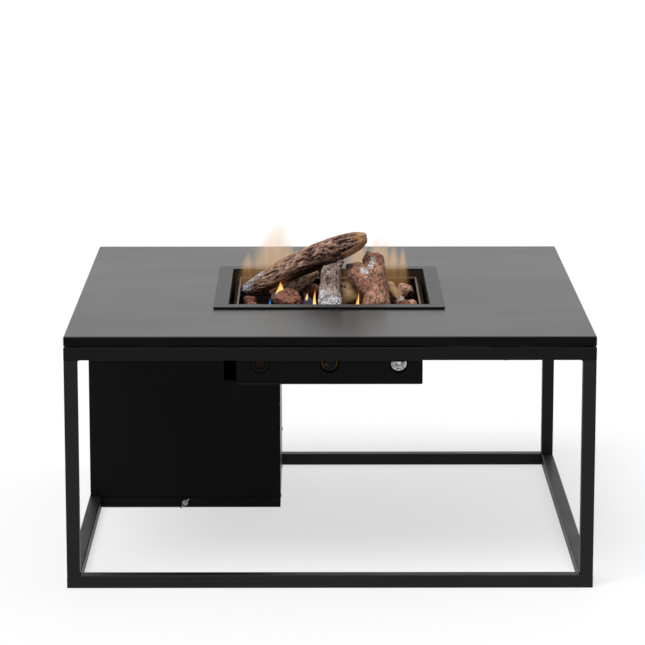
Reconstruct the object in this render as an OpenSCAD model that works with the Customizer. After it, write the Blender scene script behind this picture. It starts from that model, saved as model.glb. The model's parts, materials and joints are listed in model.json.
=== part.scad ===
// Low square fire pit table: welded tube frame, folded sheet top, gas burner with
// ceramic logs, control box and gas-bottle box. Millimetres, origin on the floor
// under the middle of the table, +X right, +Y back, +Z up.

/* [Frame] */
// Width of the table, left to right
table_w = 1000; // [960:10:1080]
// Depth of the table, front to back
table_d = 1000; // [960:10:1080]
// Height of the welded frame, floor to the top of the upper rails
frame_h = 467.5; // [440:2.5:520]
// Outside width of the square frame tube
tube = 25; // [22:1:30]
// Wall of the frame tube
tube_wall = 1.5; // [1:0.5:3]
// Outside corner radius of the frame tube
tube_r = 2; // [1:0.5:3]
// Radius of the ground weld in the inner corners under the top rails
weld_r = 5; // [3:0.5:8]

/* [Table top] */
// Height of the folded edge of the top
top_edge = 18; // [17:1:30]
// Sheet of the top
top_sheet = 2; // [1.5:0.5:3]
// Outside radius of the top's folded edges and corners
top_r = 3; // [2.5:0.5:5]
// Width of the fold that turns in under the edge
return_w = 22; // [20:1:25]
// Shadow gap between the frame and the top
shadow_gap = 2.5; // [1:0.5:6]
// Height of the hat-shaped stiffeners under the top
stiffener_h = 14; // [10:1:14]
// Width of a stiffener without its flanges
stiffener_w = 30; // [20:1:40]
// Distance of a top screw from the middle of its rail
top_screw_x = 330; // [280:5:400]

/* [Burner] */
// Outside width of the square burner pan
pan_w = 400; // [394:1:410]
// Depth of the pan, from the top of its flange
pan_depth = 94; // [88:1:104]
// Sheet of the pan and its inner tray
pan_sheet = 1.5; // [1:0.5:2]
// Reach of the flange beyond the pan's wall
flange_w = 27.5; // [20:0.5:35]
// Thickness of the flange
flange_t = 2; // [1.5:0.5:3]
// Thickness of the gasket under the flange
gasket_t = 2; // [1:0.5:3]
// Setback of the gasket from the flange's edge
gasket_inset = 4; // [2:0.5:6]
// Gap between the pan and the cut-out of the top
pan_gap = 2; // [1:0.5:4]
// Outside width of the inner tray
tray_w = 381; // [376:1:386]
// Drop of the inner tray's rim below the flange
rim_drop = 15; // [12:1:20]
// Drop of the burner plate below the inner tray's rim
bed_drop = 39; // [36:1:42]
// Side of the square burner ring, between tube centres
ring_w = 220; // [200:5:236]
// Outside radius of the burner tube
ring_r = 10; // [9:0.5:11]

/* [Control box] */
// Width of the control box
control_w = 363; // [350:1:380]
// Depth of the control box
control_depth = 84; // [80:1:100]
// Sheet of the control box and its bracket
control_sheet = 1.5; // [1:0.5:2]
// Corner radius at the bottom of the control box's face
control_r = 3; // [3:1:10]
// Spacing of the three control holes
control_pitch = 135; // [120:1:140]
// Radius of the control holes
control_hole_r = 18.75; // [18:0.25:20]
// Height of the holes above the bottom of the box
control_hole_h = 41; // [40:1:46]

/* [Controls] */
// Radius of the knob's skirt
knob_r = 16; // [15:0.5:17]
// Radius of the knob's grip
grip_r = 12.5; // [11:0.5:13]
// Reach of the knob in front of the box
knob_out = 10; // [6:1:16]
// Radius of the valve spindle
spindle_r = 4; // [3:0.5:5]
// Push travel of the knob
knob_travel = 4; // [3:0.5:5]
// Radius of the igniter button
button_r = 12; // [10:0.5:12.5]
// Push travel of the igniter button
button_travel = 5; // [3:0.5:6]
// Radius of the battery cap
cap_r = 15; // [14:0.5:16.5]
// Radius of the battery cell
cell_r = 7.1; // [6.8:0.1:7.2]
// Length of the battery cell
cell_len = 24; // [20:1:26]
// Outside radius of the gas pipe
pipe_r = 4; // [3:0.5:5]
// Radius of the hose tail's plain end
inlet_r = 4.5; // [4:0.5:5]
// Length of the hose tail's plain end
inlet_len = 22; // [18:1:26]
// Radius of the ignition and thermocouple leads
lead_r = 1.75; // [1.5:0.25:2]

/* [Gas-bottle box] */
// Width of the box, from the outside of the frame
box_w = 400; // [380:5:420]
// Depth of the box, from the outside of the frame
box_d = 400; // [380:5:410]
// Sheet of the box
box_sheet = 1.5; // [1:0.5:2]
// Setback of the side panels from the frame's outer face
panel_inset = 3; // [2.5:0.5:5]
// Width of the panels' folded flanges
panel_flange = 18; // [16:1:18]
// Floor to the lower edge of the door's notch
notch_z = 274; // [250:2:320]
// Clearance of the notch beside the burner pan
notch_clear = 17; // [12:1:18]
// Radius of the door's hinge rod
rod_r = 4; // [3:0.5:5]
// Distance of the hinge rod behind the door's face
rod_back = 10; // [9.5:0.5:12]
// Span of the wing latch over its wings
wing_span = 30; // [20:1:32]

/* [Fire bed] */
// Facets round a log
log_sides = 14; // [10:2:20]
// Rings along a log
log_rings = 18; // [12:2:26]

/* [Hidden] */

$fn = 48;
over = 1;          // reach of a cut beyond the face that it leaves
fit = 0.05;        // radial clearance of a running or sliding fit
rest_gap = 0.3;    // gap under a piece that only rests

// Levels of the top and the burner
edge_z = frame_h + shadow_gap;
top_z = edge_z + top_edge;
under_top = top_z - top_sheet;
flange_z = top_z + gasket_t;
pan_top = flange_z + flange_t;
pan_bottom = pan_top - pan_depth;
tray_z = pan_bottom + pan_sheet;
tray_floor = tray_z + pan_sheet;
tray_rim = pan_top - rim_drop;
bed_z = tray_rim - bed_drop;
plate_t = 2;
plate_z = bed_z - plate_t;

// Top: cut-out, screws, stiffeners
cut_w = pan_w + 2 * pan_gap;
screw_r = 3;
screw_hole_r = 3.3;
screw_head_r = 5.5;
screw_head_h = 1.5;
weld_edge = 0.3;    // thickness of a weld at its two thin ends
nut_h = 5;
spacer_len = 60;
stiffener_x = cut_w / 2 + 40;
stiffener_len = table_d - 2 * return_w - 10;
stiffener_flange = 12;
stiffener_sheet = 1.5;
top_screw_points = [
    for (s = [-1, 1]) each [
        [s * top_screw_x, -table_d / 2 + tube / 2],
        [s * top_screw_x, table_d / 2 - tube / 2],
        [-table_w / 2 + tube / 2, s * top_screw_x],
        [table_w / 2 - tube / 2, s * top_screw_x]
    ]
];

// Burner: ring, mixer, injector, electrode
ring_wall = 1.5;
ring_clear = 5;
ring_z = tray_floor + ring_clear + ring_r;
ring_bend = 24;
port_r = 1.25;
port_count = 6;
ledge_w = 18;
ledge_t = 2;
lip_w = 10;
lip_t = 3;
plate_gap = 1;
plate_w = tray_w - 2 * lip_w - plate_gap;
slot_len = 44;
slot_w = 5;
mixer_r = 13;
mixer_top = pan_bottom - 2;
mixer_h = 28;
mixer_socket = 10;
mixer_bottom = mixer_top - mixer_h;
pipe_z = mixer_bottom - 6;
nozzle_r = 5;
injector_reach = 14;
floor_hole_r = ring_r + 1;
probe_y = -ring_w / 2 - 18;
electrode_x = 40;
probe_x = 60;
ceramic_r = 3.5;
probe_r = 3;
probe_low = pan_bottom - 8;
probe_hole = 0.3;

// Control box
control_gap = 6;
control_back = -pan_w / 2 - control_gap;
control_front = control_back - control_depth;
control_z = pan_bottom - 6;
control_bottom = control_z - control_hole_h;
control_flange = 15;
stud_r = 2.5;
stud_len = 12;
stud_inset = 20;
bracket_front = control_front + 28;
bracket_back = bracket_front + control_sheet;
bracket_w = control_w - 2 * control_sheet - 2 * rest_gap;
bracket_top = 40;
neck_r = 10;
neck_out = 5;
neck_nut = 4;
neck_hex = 27;
valve_w = 40;
valve_back = control_back - 8;
valve_top = 22;
valve_low = pipe_z - 7;
collar_r = 7;
collar_t = 5;
collar_gap = knob_travel + 1;
neck_front = bracket_front - neck_out;
collar_back = neck_front - collar_gap;
knob_back = collar_back - collar_t - 2;
knob_front = control_front - knob_out;
spindle_tail = 12;
spindle_flat = spindle_r - 1;
bezel_r = 17;
bezel_t = 5;
bezel_front = control_front + 1;
button_front = bezel_front + 2;
button_len = 10;
button_bore_end = button_front + button_len + button_travel + 1;
sleeve_r = 14;
rear_back = control_back - 19;
cap_out = 6;
cap_seat = control_front + 6;
cap_plug_r = 9;
cap_plug = 8;
inlet_z = valve_low + 11;
inlet_y = (bracket_back + valve_back) / 2;
hose_hole_r = inlet_z - control_bottom - control_r - 1;
lead_port_x = 12;
lead_port_z = control_z - 4;

// Gas-bottle box
box_x0 = -table_w / 2;
box_x1 = box_x0 + box_w;
box_y0 = table_d / 2 - box_d;
inner_x0 = box_x0 + tube;
inner_y1 = table_d / 2 - tube;
panel_top = frame_h - tube;
door_side = 2;
door_gap = 1;
door_back = box_y0 + box_sheet;
strip_back = door_back + box_sheet;
strip_top = tube + door_gap;
strip_groove = 2;
strip_lap = 12;
strip_low = 2;
tray_front = strip_back + 1;
tray_low = 1;
notch_x = -pan_w / 2 - notch_clear;
hinge_y = box_y0 + rod_back;
hinge_z = panel_top - 12.5;
lug_r = rod_r + 4;
lug_t = 3;
ear_t = 2;
ear_gap = 4;
door_top = hinge_z - lug_r - 1;
left_lug_x = inner_x0;
right_lug_x = -stiffener_x - lug_t / 2;
left_ear_x = left_lug_x + lug_t + ear_gap;
right_ear_x = right_lug_x + lug_t + ear_gap;
latch_x = (box_x0 + box_x1) / 2;
latch_z = tube / 2;
latch_r = 3;
tongue_len = 18;
tongue_h = 6;
tongue_t = 2;
tongue_front = tray_front + box_sheet + 1.5;
tongue_gap = 2;
wing_turn = -50;
fixing_r = 2;
fixing_hole_r = 2.2;
fixing_head_r = 4;
fixing_head_h = 1.2;
fixing_len = 9;
access_r = screw_head_r + 1.5;
back_return = 20;
fixing_inset = 60;

// Screws of the panels: point under the head, turned so that the shank runs along
// the given direction
left_fixings = [
    for (y = [box_y0 + fixing_inset, inner_y1 - fixing_inset]) each [
        [[box_x0 + tube / 2, y, tube + box_sheet], [180, 0, 0]],
        [[box_x0 + tube / 2, y, panel_top - box_sheet], [0, 0, 0]]
    ]
];
back_fixings = [
    for (x = [inner_x0 + fixing_inset, box_x1 - fixing_inset]) each [
        [[x, table_d / 2 - tube / 2, tube + box_sheet], [180, 0, 0]],
        [[x, table_d / 2 - tube / 2, panel_top - box_sheet], [0, 0, 0]]
    ]
];
tray_left_fixings = [
    for (y = [box_y0 + 2 * fixing_inset, inner_y1 - fixing_inset])
        [[inner_x0 + box_sheet, y, tube / 2], [0, -90, 0]]
];
tray_back_fixings = [
    for (x = [inner_x0 + fixing_inset, box_x1 - fixing_inset])
        [[x, inner_y1 - box_sheet, tube / 2], [-90, 0, 0]]
];
right_tray_fixings = [
    for (y = [box_y0 + fixing_inset, inner_y1 - fixing_inset]) [[box_x1, y, tube / 2], [0, -90, 0]]
];
right_back_fixings = [
    for (z = [tube + fixing_inset, panel_top - fixing_inset])
        [[box_x1, inner_y1 - back_return / 2, z], [0, -90, 0]]
];

// Fire bed: each log runs from a start to an end, given as X, Y and height over the
// burner plate, with a bow, three radii (start, middle, end), a seed and a lump size
log_long_form = [[-183, 130, 11.5], [80, -20, 159.2], [0, 0, 7], [14, 27, 16.5], 20, 1.2];
log_ash_form = [[0, -94, 11.1], [2, 10.5, 96.6], [2, 0, 0], [24, 23, 21], 75, 1.2];
log_forked_form = [[95, -92, 15.3], [93, 45, 114.8], [3, 0, 3], [30, 25.5, 17], 130, 1.6];
log_stub_form = [[91, -52, 48], [41, 18, 97], [0, 0, 2], [25, 23, 15], 210, 0.8];
log_grey_form = [[-114, 67, 7.6], [-18, 112, 68.8], [0, 0, 2], [14, 15, 13], 260, 0.9];
log_small_form = [[118.2, -4, 62], [155.2, -24, 1.9], [2, 0, 2], [10, 11, 10], 305, 0.7];
log_tan_form = [[-15, 9.5, 30.9], [116, 20, 30.6], [0, 2, 0], [27, 30, 27], 340, 1];

// Lava rocks: X, Y and the three half sizes of each
rock_list = [
    [-161, 47, 14, 14, 12.5], [-82, -5, 29, 24, 24], [160, 131, 18, 17, 18],
    [148, 46, 13, 12, 11], [170, 20, 12, 13, 11], [-32, 106, 20, 18, 20.9],
    [-150, -60, 20, 18, 16], [-120, -135, 22, 20, 17], [-52, -142, 20, 19, 16],
    [80, -158, 19, 15, 15], [145, -120, 23, 20, 17], [-52, -72, 18, 17, 14],
    [52, -100, 15, 16, 13], [150, -62, 17, 15, 18.5], [58, 122, 22, 20, 17],
    [112, 96, 17, 16, 14], [-104, 158, 20, 17, 15], [4, 160, 20, 17, 15]
];
rock_sides = 8;
rock_rows = 5;

// Leads held between the controls and the burner
ignition_route = [
    [-control_pitch, rear_back, control_z], [-control_pitch + 4, rear_back + 20, control_z - 3],
    [-90, -168, control_z - 12], [-30, -148, control_z - 19], [20, -136, control_z - 18],
    [electrode_x, probe_y, probe_low - 9], [electrode_x, probe_y, probe_low]
];
thermocouple_route = [
    [lead_port_x, valve_back, lead_port_z], [lead_port_x + 1, valve_back + 14, lead_port_z],
    [30, -176, control_z - 9], [52, -146, control_z - 13],
    [probe_x, probe_y, probe_low - 9], [probe_x, probe_y, probe_low]
];
lead_steps = 4;
lead_sides = 8;

// Shapes that repeat

module rounded_rect(w, d, r) {
    square([w - 2 * r, d], center = true);
    square([w, d - 2 * r], center = true);
    for (x = [-1, 1], y = [-1, 1])
        translate([x * (w / 2 - r), y * (d / 2 - r)])
            circle(r);
}

module slab(w, d, r, z, t) {
    translate([0, 0, z])
        linear_extrude(t)
            rounded_rect(w, d, r);
}

module square_ring(w_out, d_out, r_out, w_in, d_in, z, t) {
    translate([0, 0, z])
        linear_extrude(t)
            difference() {
                rounded_rect(w_out, d_out, r_out);
                square([w_in, d_in], center = true);
            }
}

module box(low, high) {
    translate(low)
        cube(high - low);
}

module rod_x(r, x0, x1) {
    translate([x0, 0, 0])
        rotate([0, 90, 0])
            cylinder(r = r, h = x1 - x0);
}

module rod_y(r, y0, y1) {
    translate([0, y0, 0])
        rotate([-90, 0, 0])
            cylinder(r = r, h = y1 - y0);
}

module rod_z(r, z0, z1) {
    translate([0, 0, z0])
        cylinder(r = r, h = z1 - z0);
}

module hex_y(across, y0, y1) {
    translate([0, y0, 0])
        rotate([-90, 0, 0])
            cylinder(d = across / cos(30), h = y1 - y0, $fn = 6);
}

module tube_profile() {
    difference() {
        rounded_rect(tube, tube, tube_r);
        rounded_rect(tube - 2 * tube_wall, tube - 2 * tube_wall, tube_r / 2);
    }
}

// Tube along X with mitred ends, its outer side on y = 0 and its underside on z = 0
module mitred_rail(length) {
    intersection() {
        translate([-length / 2, 0, 0])
            rotate([90, 0, 90])
                linear_extrude(length)
                    translate([tube / 2, tube / 2])
                        tube_profile();
        translate([0, 0, -over])
            linear_extrude(tube + 2 * over)
                polygon([
                    [-length / 2, 0], [length / 2, 0],
                    [length / 2 - tube, tube], [-length / 2 + tube, tube]
                ]);
    }
}

module leg(sx, sy) {
    color("#1d1d1f")
        translate([sx * (table_w - tube) / 2, sy * (table_d - tube) / 2, tube])
            linear_extrude(frame_h - 2 * tube)
                tube_profile();
    if (sx > 0 || sy < 0)
        color("#1d1d1f")
            translate([sx * (table_w - tube) / 2, sy * (table_d - tube) / 2, panel_top])
                for (turn = [sx > 0 ? 180 : 0, sy > 0 ? -90 : 90])
                    rotate([0, 0, turn])
                        corner_weld();
}

// Concave weld between the face of a leg and the underside of a top rail
module corner_weld() {
    side = weld_r + weld_edge;
    translate([tube / 2, 0, 0])
        rotate([90, 0, 0])
            linear_extrude(tube - 2 * tube_r, center = true)
                difference() {
                    translate([-tube_wall / 2, -side])
                        square([side + tube_wall / 2, side]);
                    translate([side, -side])
                        circle(weld_r);
                }
}

// One rail of the upper or lower frame: turn 0 is the front, 90 right, 180 back, -90 left
module rail(turn, z) {
    across = abs(turn) == 90;
    rotate([0, 0, turn])
        translate([0, -(across ? table_w : table_d) / 2, z])
            mitred_rail(across ? table_d : table_w);
}

module screw_shafts(points, r, z0, z1) {
    for (p = points)
        translate([p.x, p.y, 0])
            rod_z(r, z0, z1);
}

module top_rail(turn) {
    color("#1d1d1f")
        difference() {
            rail(turn, panel_top);
            screw_shafts(top_screw_points, screw_hole_r, panel_top - over, frame_h + over);
            if (turn == -90)
                fixing_shanks(left_fixings);
            if (turn == 180)
                fixing_shanks(back_fixings);
        }
}

module bottom_rail(turn) {
    color("#1d1d1f")
        difference() {
            rail(turn, 0);
            if (turn == -90)
                fixing_shanks(concat(left_fixings, tray_left_fixings));
            if (turn == 180)
                fixing_shanks(concat(back_fixings, tray_back_fixings));
        }
}

// Clearance holes for a list of panel screws
module fixing_shanks(fixings) {
    for (f = fixings)
        translate(f[0])
            rotate(f[1])
                rod_z(fixing_hole_r, -over / 2, fixing_len + over);
}

// Table top

module table_top() {
    color("#2b2b2d")
        difference() {
            union() {
                translate([0, 0, under_top])
                    linear_extrude(top_sheet)
                        square([table_w - 2 * top_r, table_d - 2 * top_r], center = true);
                for (turn = [0 : 90 : 270])
                    folded_edge(turn);
                square_ring(table_w, table_d, top_r, table_w - 2 * return_w,
                            table_d - 2 * return_w, edge_z, top_sheet);
                control_studs();
            }
            slab(cut_w, cut_w, top_r, under_top - over, top_sheet + 2 * over);
            screw_shafts(top_screw_points, screw_hole_r, edge_z - over, edge_z + top_sheet + over);
        }
}

// Bend and upright of the folded edge, drawn from the centre of the bend
module edge_profile() {
    intersection() {
        difference() {
            circle(top_r);
            circle(top_r - top_sheet);
        }
        square(top_r);
    }
    translate([top_r - top_sheet, top_r - top_edge])
        square([top_sheet, top_edge - top_r]);
}

// One folded edge and the corner on its right: turn 0 is the front
module folded_edge(turn) {
    across = turn % 180 == 90;
    length = (across ? table_d : table_w) - 2 * top_r;
    reach = (across ? table_w : table_d) / 2 - top_r;
    rotate([0, 0, turn])
        translate([0, -reach, top_z - top_r]) {
            rotate([90, 0, -90])
                linear_extrude(length, center = true)
                    edge_profile();
            translate([length / 2, 0, 0])
                rotate([0, 0, -90])
                    rotate_extrude(angle = 90)
                        edge_profile();
        }
}

function control_stud_points() = [
    for (s = [-1, 1], y = [control_front + stud_inset, control_back - stud_inset])
        [s * (control_w + control_flange) / 2, y]
];

// Welded studs that carry the control box
module control_studs() {
    screw_shafts(control_stud_points(), stud_r, under_top - stud_len, under_top + top_sheet / 2);
}

module top_stiffeners() {
    color("#2b2b2d")
        for (s = [-1, 1])
            translate([s * stiffener_x, stiffener_len / 2, under_top - stiffener_h])
                rotate([90, 0, 0])
                    linear_extrude(stiffener_len)
                        hat_profile();
}

module hat_profile() {
    w = stiffener_w / 2;
    t = stiffener_sheet;
    translate([-w, 0])
        square([2 * w, t]);
    for (s = [-1, 1]) {
        translate([s > 0 ? w - t : -w, 0])
            square([t, stiffener_h]);
        translate([s > 0 ? w - t : -w - stiffener_flange + t, stiffener_h - t])
            square([stiffener_flange, t]);
    }
}

module top_spacers() {
    color("#101011")
        for (p = top_screw_points) {
            along_x = abs(p.x) == top_screw_x;
            w = tube - 2 * tube_r - 4;
            translate([p.x, p.y, frame_h])
                difference() {
                    linear_extrude(shadow_gap)
                        rounded_rect(along_x ? spacer_len : w, along_x ? w : spacer_len, 3);
                    rod_z(screw_hole_r, -over, shadow_gap + over);
                }
        }
}

module top_screws() {
    tip = edge_z + top_sheet + nut_h + 1;
    color("#1b1b1c")
        for (p = top_screw_points)
            translate([p.x, p.y, 0])
                difference() {
                    union() {
                        rod_z(screw_r, panel_top - over, tip);
                        rod_z(screw_head_r, panel_top - screw_head_h, panel_top);
                    }
                    translate([0, 0, panel_top - screw_head_h - over])
                        cylinder(d = 4 / cos(30), h = 0.8 * screw_head_h + over, $fn = 6);
                }
}

module top_nuts() {
    color("#8d8f92")
        for (p = top_screw_points)
            translate([p.x, p.y, edge_z + top_sheet])
                difference() {
                    cylinder(d = 10 / cos(30), h = nut_h, $fn = 6);
                    rod_z(screw_r + fit, -over, nut_h + over);
                }
}

// Burner

module burner_pan() {
    wall_in = pan_w - 2 * pan_sheet;
    color("#3a3733")
        difference() {
            union() {
                square_ring(pan_w + 2 * flange_w, pan_w + 2 * flange_w, top_r,
                            wall_in, wall_in, flange_z, flange_t);
                square_ring(pan_w, pan_w, top_r, wall_in, wall_in, pan_bottom, pan_depth);
                slab(pan_w, pan_w, top_r, pan_bottom, pan_sheet);
            }
            burner_floor_cuts(pan_bottom);
        }
}

// Openings in the floors of the pan and the tray: feed, probes, and drain slots
module burner_floor_cuts(z) {
    depth = 2 * pan_sheet;
    rod_z(floor_hole_r, z - over, z + depth);
    translate([electrode_x, probe_y, 0])
        rod_z(ceramic_r + probe_hole, z - over, z + depth);
    translate([probe_x, probe_y, 0])
        rod_z(probe_r + probe_hole, z - over, z + depth);
    for (s = [-1, 1])
        translate([s * ring_w / 4, ring_w / 3, z - over])
            linear_extrude(depth + over)
                rounded_rect(slot_len, slot_w, slot_w / 2 - 0.1);
}

module burner_gasket() {
    outer = pan_w + 2 * flange_w - 2 * gasket_inset;
    color("#0c0c0d")
        square_ring(outer, outer, top_r, cut_w + 2, cut_w + 2, top_z, gasket_t);
}

module inner_tray() {
    wall_in = tray_w - 2 * pan_sheet;
    lip_in = tray_w - 2 * lip_w;
    color("#4b4640")
        difference() {
            union() {
                slab(tray_w, tray_w, top_r, tray_z, pan_sheet);
                square_ring(tray_w, tray_w, top_r, wall_in, wall_in, tray_z, tray_rim - tray_z);
                square_ring(tray_w, tray_w, top_r, lip_in, lip_in, tray_rim - lip_t, lip_t);
                square_ring(tray_w, tray_w, top_r, wall_in - 2 * ledge_w, wall_in - 2 * ledge_w,
                            plate_z - ledge_t, ledge_t);
                for (turn = [0 : 90 : 270])
                    rotate([0, 0, turn])
                        ring_saddle();
            }
            burner_floor_cuts(tray_z);
        }
}

// Pressed saddle in the tray's floor that carries one side of the burner ring
module ring_saddle() {
    translate([ring_w / 4, ring_w / 2, tray_floor - pan_sheet / 2])
        linear_extrude(pan_sheet / 2 + ring_clear - rest_gap)
            rounded_rect(24, 12, 3);
}

module burner_plate() {
    color("#2a2826")
        difference() {
            slab(plate_w, plate_w, 2, plate_z, plate_t);
            for (turn = [0 : 90 : 270], s = [-1, 0, 1])
                rotate([0, 0, turn])
                    translate([s * ring_w / 3, -ring_w / 2, plate_z - over])
                        linear_extrude(plate_t + 2 * over)
                            rounded_rect(slot_len, slot_w, slot_w / 2 - 0.1);
            translate([electrode_x, probe_y, 0])
                rod_z(ceramic_r + probe_hole, plate_z - over, bed_z + over);
            translate([probe_x, probe_y, 0])
                rod_z(probe_r + probe_hole, plate_z - over, bed_z + over);
        }
}

// Square ring with bent corners, a cross tube and a feed that drops through the floors
module ring_solid(r, stub_extra) {
    straight = ring_w - 2 * ring_bend;
    translate([0, 0, ring_z]) {
        for (turn = [0 : 90 : 270])
            rotate([0, 0, turn]) {
                translate([0, -ring_w / 2, 0])
                    rod_x(r, -straight / 2, straight / 2);
                translate([straight / 2, straight / 2, 0])
                    rotate_extrude(angle = 90)
                        translate([ring_bend, 0])
                            circle(r);
            }
        rod_x(r, -ring_w / 2, ring_w / 2);
    }
    rod_z(r, mixer_top - mixer_socket - stub_extra, ring_z);
}

module burner_tube() {
    color("#8f8a82")
        difference() {
            ring_solid(ring_r, 0);
            ring_solid(ring_r - ring_wall, over);
            for (turn = [0 : 90 : 270], i = [0 : port_count - 1])
                rotate([0, 0, turn])
                    translate([(i - (port_count - 1) / 2) * 26, -ring_w / 2, 0])
                        rod_z(port_r, ring_z, ring_z + ring_r + over);
        }
}

module mixer_tube() {
    socket = mixer_top - mixer_socket;
    window = 9;
    color("#77736c")
        difference() {
            rod_z(mixer_r, mixer_bottom, mixer_top);
            rod_z(ring_r + fit, socket, mixer_top + over);
            rod_z(ring_r - ring_wall, mixer_bottom + 2, socket + over);
            rod_z(nozzle_r + fit, mixer_bottom - over, mixer_bottom + 3);
            for (turn = [45, 135])
                rotate([0, 0, turn])
                    box([-mixer_r - over, -window / 2, mixer_bottom + 4],
                        [mixer_r + over, window / 2, mixer_bottom + 4 + window]);
        }
}

module injector() {
    color("#b08d3c")
        difference() {
            union() {
                rod_z(nozzle_r, pipe_z, mixer_bottom + 8);
                translate([0, 0, pipe_z - 6])
                    cylinder(d = 17 / cos(30), h = 12, $fn = 6);
                translate([0, 0, pipe_z])
                    rod_y(5.5, -injector_reach, 0);
            }
            rod_z(0.6, mixer_bottom, mixer_bottom + 8 + over);
            rod_z(2.5, pipe_z, mixer_bottom + 6);
        }
}

module electrode() {
    tip = bed_z + 10;
    color("#e8e4da")
        translate([electrode_x, probe_y, 0]) {
            rod_z(ceramic_r, probe_low, bed_z + 4);
            rod_z(1, bed_z + 3, tip);
            rod_z(ceramic_r + 1.5, pan_bottom - 4, pan_bottom);
        }
}

module thermocouple_probe() {
    color("#9a8f84")
        translate([probe_x, probe_y, 0]) {
            rod_z(probe_r, probe_low, bed_z + 9);
            translate([0, 0, bed_z + 9])
                sphere(probe_r);
            rod_z(probe_r + 2, pan_bottom - 4, pan_bottom);
        }
}

// Fire bed

function mid_radius(radii, t) =
    radii[0] * (1 - t) * (1 - 2 * t) + 4 * radii[1] * t * (1 - t) + radii[2] * t * (2 * t - 1);

// Rounding of the two ends, as a share of the full radius
function end_round(t) = pow(1 - pow(abs(2 * t - 1), 10), 0.5) * 0.72 + 0.28;

function knob_lumps(t, a, seed) =
    sin(2 * a + 300 * t + seed) + 0.7 * sin(3 * a - 520 * t + 2 * seed) +
    0.5 * sin(5 * a + 900 * t + 3 * seed);

function log_point(form, t, a) =
    let (
        run = form[1] - form[0],
        along = run / norm(run),
        side = cross(along, [0, 0, 1]) / norm(cross(along, [0, 0, 1])),
        up = cross(side, along),
        r = end_round(t) * (mid_radius(form[3], t) + form[5] * knob_lumps(t, a, form[4]))
    )
    form[0] + run * t + form[2] * sin(180 * t) + r * (side * cos(a) + up * sin(a)) + [0, 0, bed_z];

// Faces of a closed tube of rings, as triangles with flat ends
function tube_faces(rings, sides) = concat(
    [for (i = [0 : rings - 2], j = [0 : sides - 1]) each
        let (k = (j + 1) % sides, a = i * sides, b = a + sides)
        [[a + j, b + j, b + k], [a + j, b + k, a + k]]],
    [[for (j = [0 : sides - 1]) j]],
    [[for (j = [sides - 1 : -1 : 0]) (rings - 1) * sides + j]]
);

module log_solid(form) {
    polyhedron(
        [for (i = [0 : log_rings - 1], j = [0 : log_sides - 1])
            log_point(form, i / (log_rings - 1), -360 * j / log_sides)],
        tube_faces(log_rings, log_sides)
    );
}

module log_long() {
    color("#5a3f31")
        log_solid(log_long_form);
}

module log_ash() {
    color("#8c8580")
        log_solid(log_ash_form);
}

module log_forked() {
    color("#7a4a35")
        union() {
            log_solid(log_forked_form);
            log_solid(log_stub_form);
        }
}

module log_grey() {
    color("#6b5f58")
        log_solid(log_grey_form);
}

module log_small() {
    color("#a08562")
        log_solid(log_small_form);
}

module log_tan() {
    color("#9a7c55")
        log_solid(log_tan_form);
}

function rock_point(size, row, a, seed) =
    let (
        lift = 180 * row / rock_rows - 90,
        lump = 1 + 0.08 * sin(2 * a + 97 * seed + 60 * row) + 0.06 * sin(3 * a - 71 * seed)
    )
    [size.x * cos(lift) * cos(a) * lump, size.y * cos(lift) * sin(a) * lump, size.z * sin(lift)];

module lava_rock(size, seed) {
    rows = rock_rows - 1;
    last = rows * rock_sides;
    turns = [for (j = [0 : rock_sides - 1]) j];
    polyhedron(
        concat(
            [for (i = [1 : rows], j = turns) rock_point(size, i, -360 * j / rock_sides, seed)],
            [[0, 0, -size.z], [0, 0, size.z]]
        ),
        concat(
            [for (i = [0 : rows - 2], j = turns) each
                let (k = (j + 1) % rock_sides, a = i * rock_sides, b = a + rock_sides)
                [[a + j, a + k, b + k], [a + j, b + k, b + j]]],
            [for (j = turns) [last, (j + 1) % rock_sides, j]],
            [for (j = turns)
                let (top = last - rock_sides)
                [last + 1, top + j, top + (j + 1) % rock_sides]]
        )
    );
}

module lava_rocks() {
    color("#6e3d2f")
        for (i = [0 : len(rock_list) - 1]) {
            rock = rock_list[i];
            size = [rock[2], rock[3], rock[4]];
            translate([rock[0], rock[1], bed_z + size.z + rest_gap])
                lava_rock(size, i + 1);
        }
}

// Control box

module at_control(i) {
    translate([i * control_pitch, 0, control_z])
        children();
}

module control_box() {
    w = control_w;
    t = control_sheet;
    color("#1f1f21")
        difference() {
            union() {
                control_face();
                for (s = [-1, 1]) {
                    x = s * (w - t) / 2;
                    box([x - t / 2, control_front + t / 2, control_bottom + control_r],
                        [x + t / 2, control_back, under_top]);
                    x0 = s > 0 ? w / 2 - t : -w / 2 - control_flange;
                    box([x0, control_front + t, under_top - t],
                        [x0 + control_flange + t, control_back, under_top]);
                    translate([s * (w / 2 - control_r), 0, control_bottom + control_r])
                        corner_bend(s);
                }
                box([-w / 2 + control_r, control_front + t / 2, control_bottom],
                    [w / 2 - control_r, control_back, control_bottom + t]);
            }
            for (i = [-1 : 1])
                at_control(i)
                    rod_y(control_hole_r, control_front - over, control_front + t + over);
            screw_shafts(control_stud_points(), stud_r + 0.2, under_top - t - over,
                         under_top + over);
            translate([0, inlet_y, inlet_z])
                rod_x(hose_hole_r, -w / 2 - over, -w / 2 + t + over);
        }
}

// Face of the box: square at the top, rounded at its two lower corners
module control_face() {
    h = under_top - control_bottom;
    translate([0, control_front + control_sheet, control_bottom])
        rotate([90, 0, 0])
            linear_extrude(control_sheet) {
                translate([-control_w / 2, control_r])
                    square([control_w, h - control_r]);
                translate([-control_w / 2 + control_r, 0])
                    square([control_w - 2 * control_r, h]);
                for (s = [-1, 1])
                    translate([s * (control_w / 2 - control_r), control_r])
                        circle(control_r);
            }
}

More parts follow.
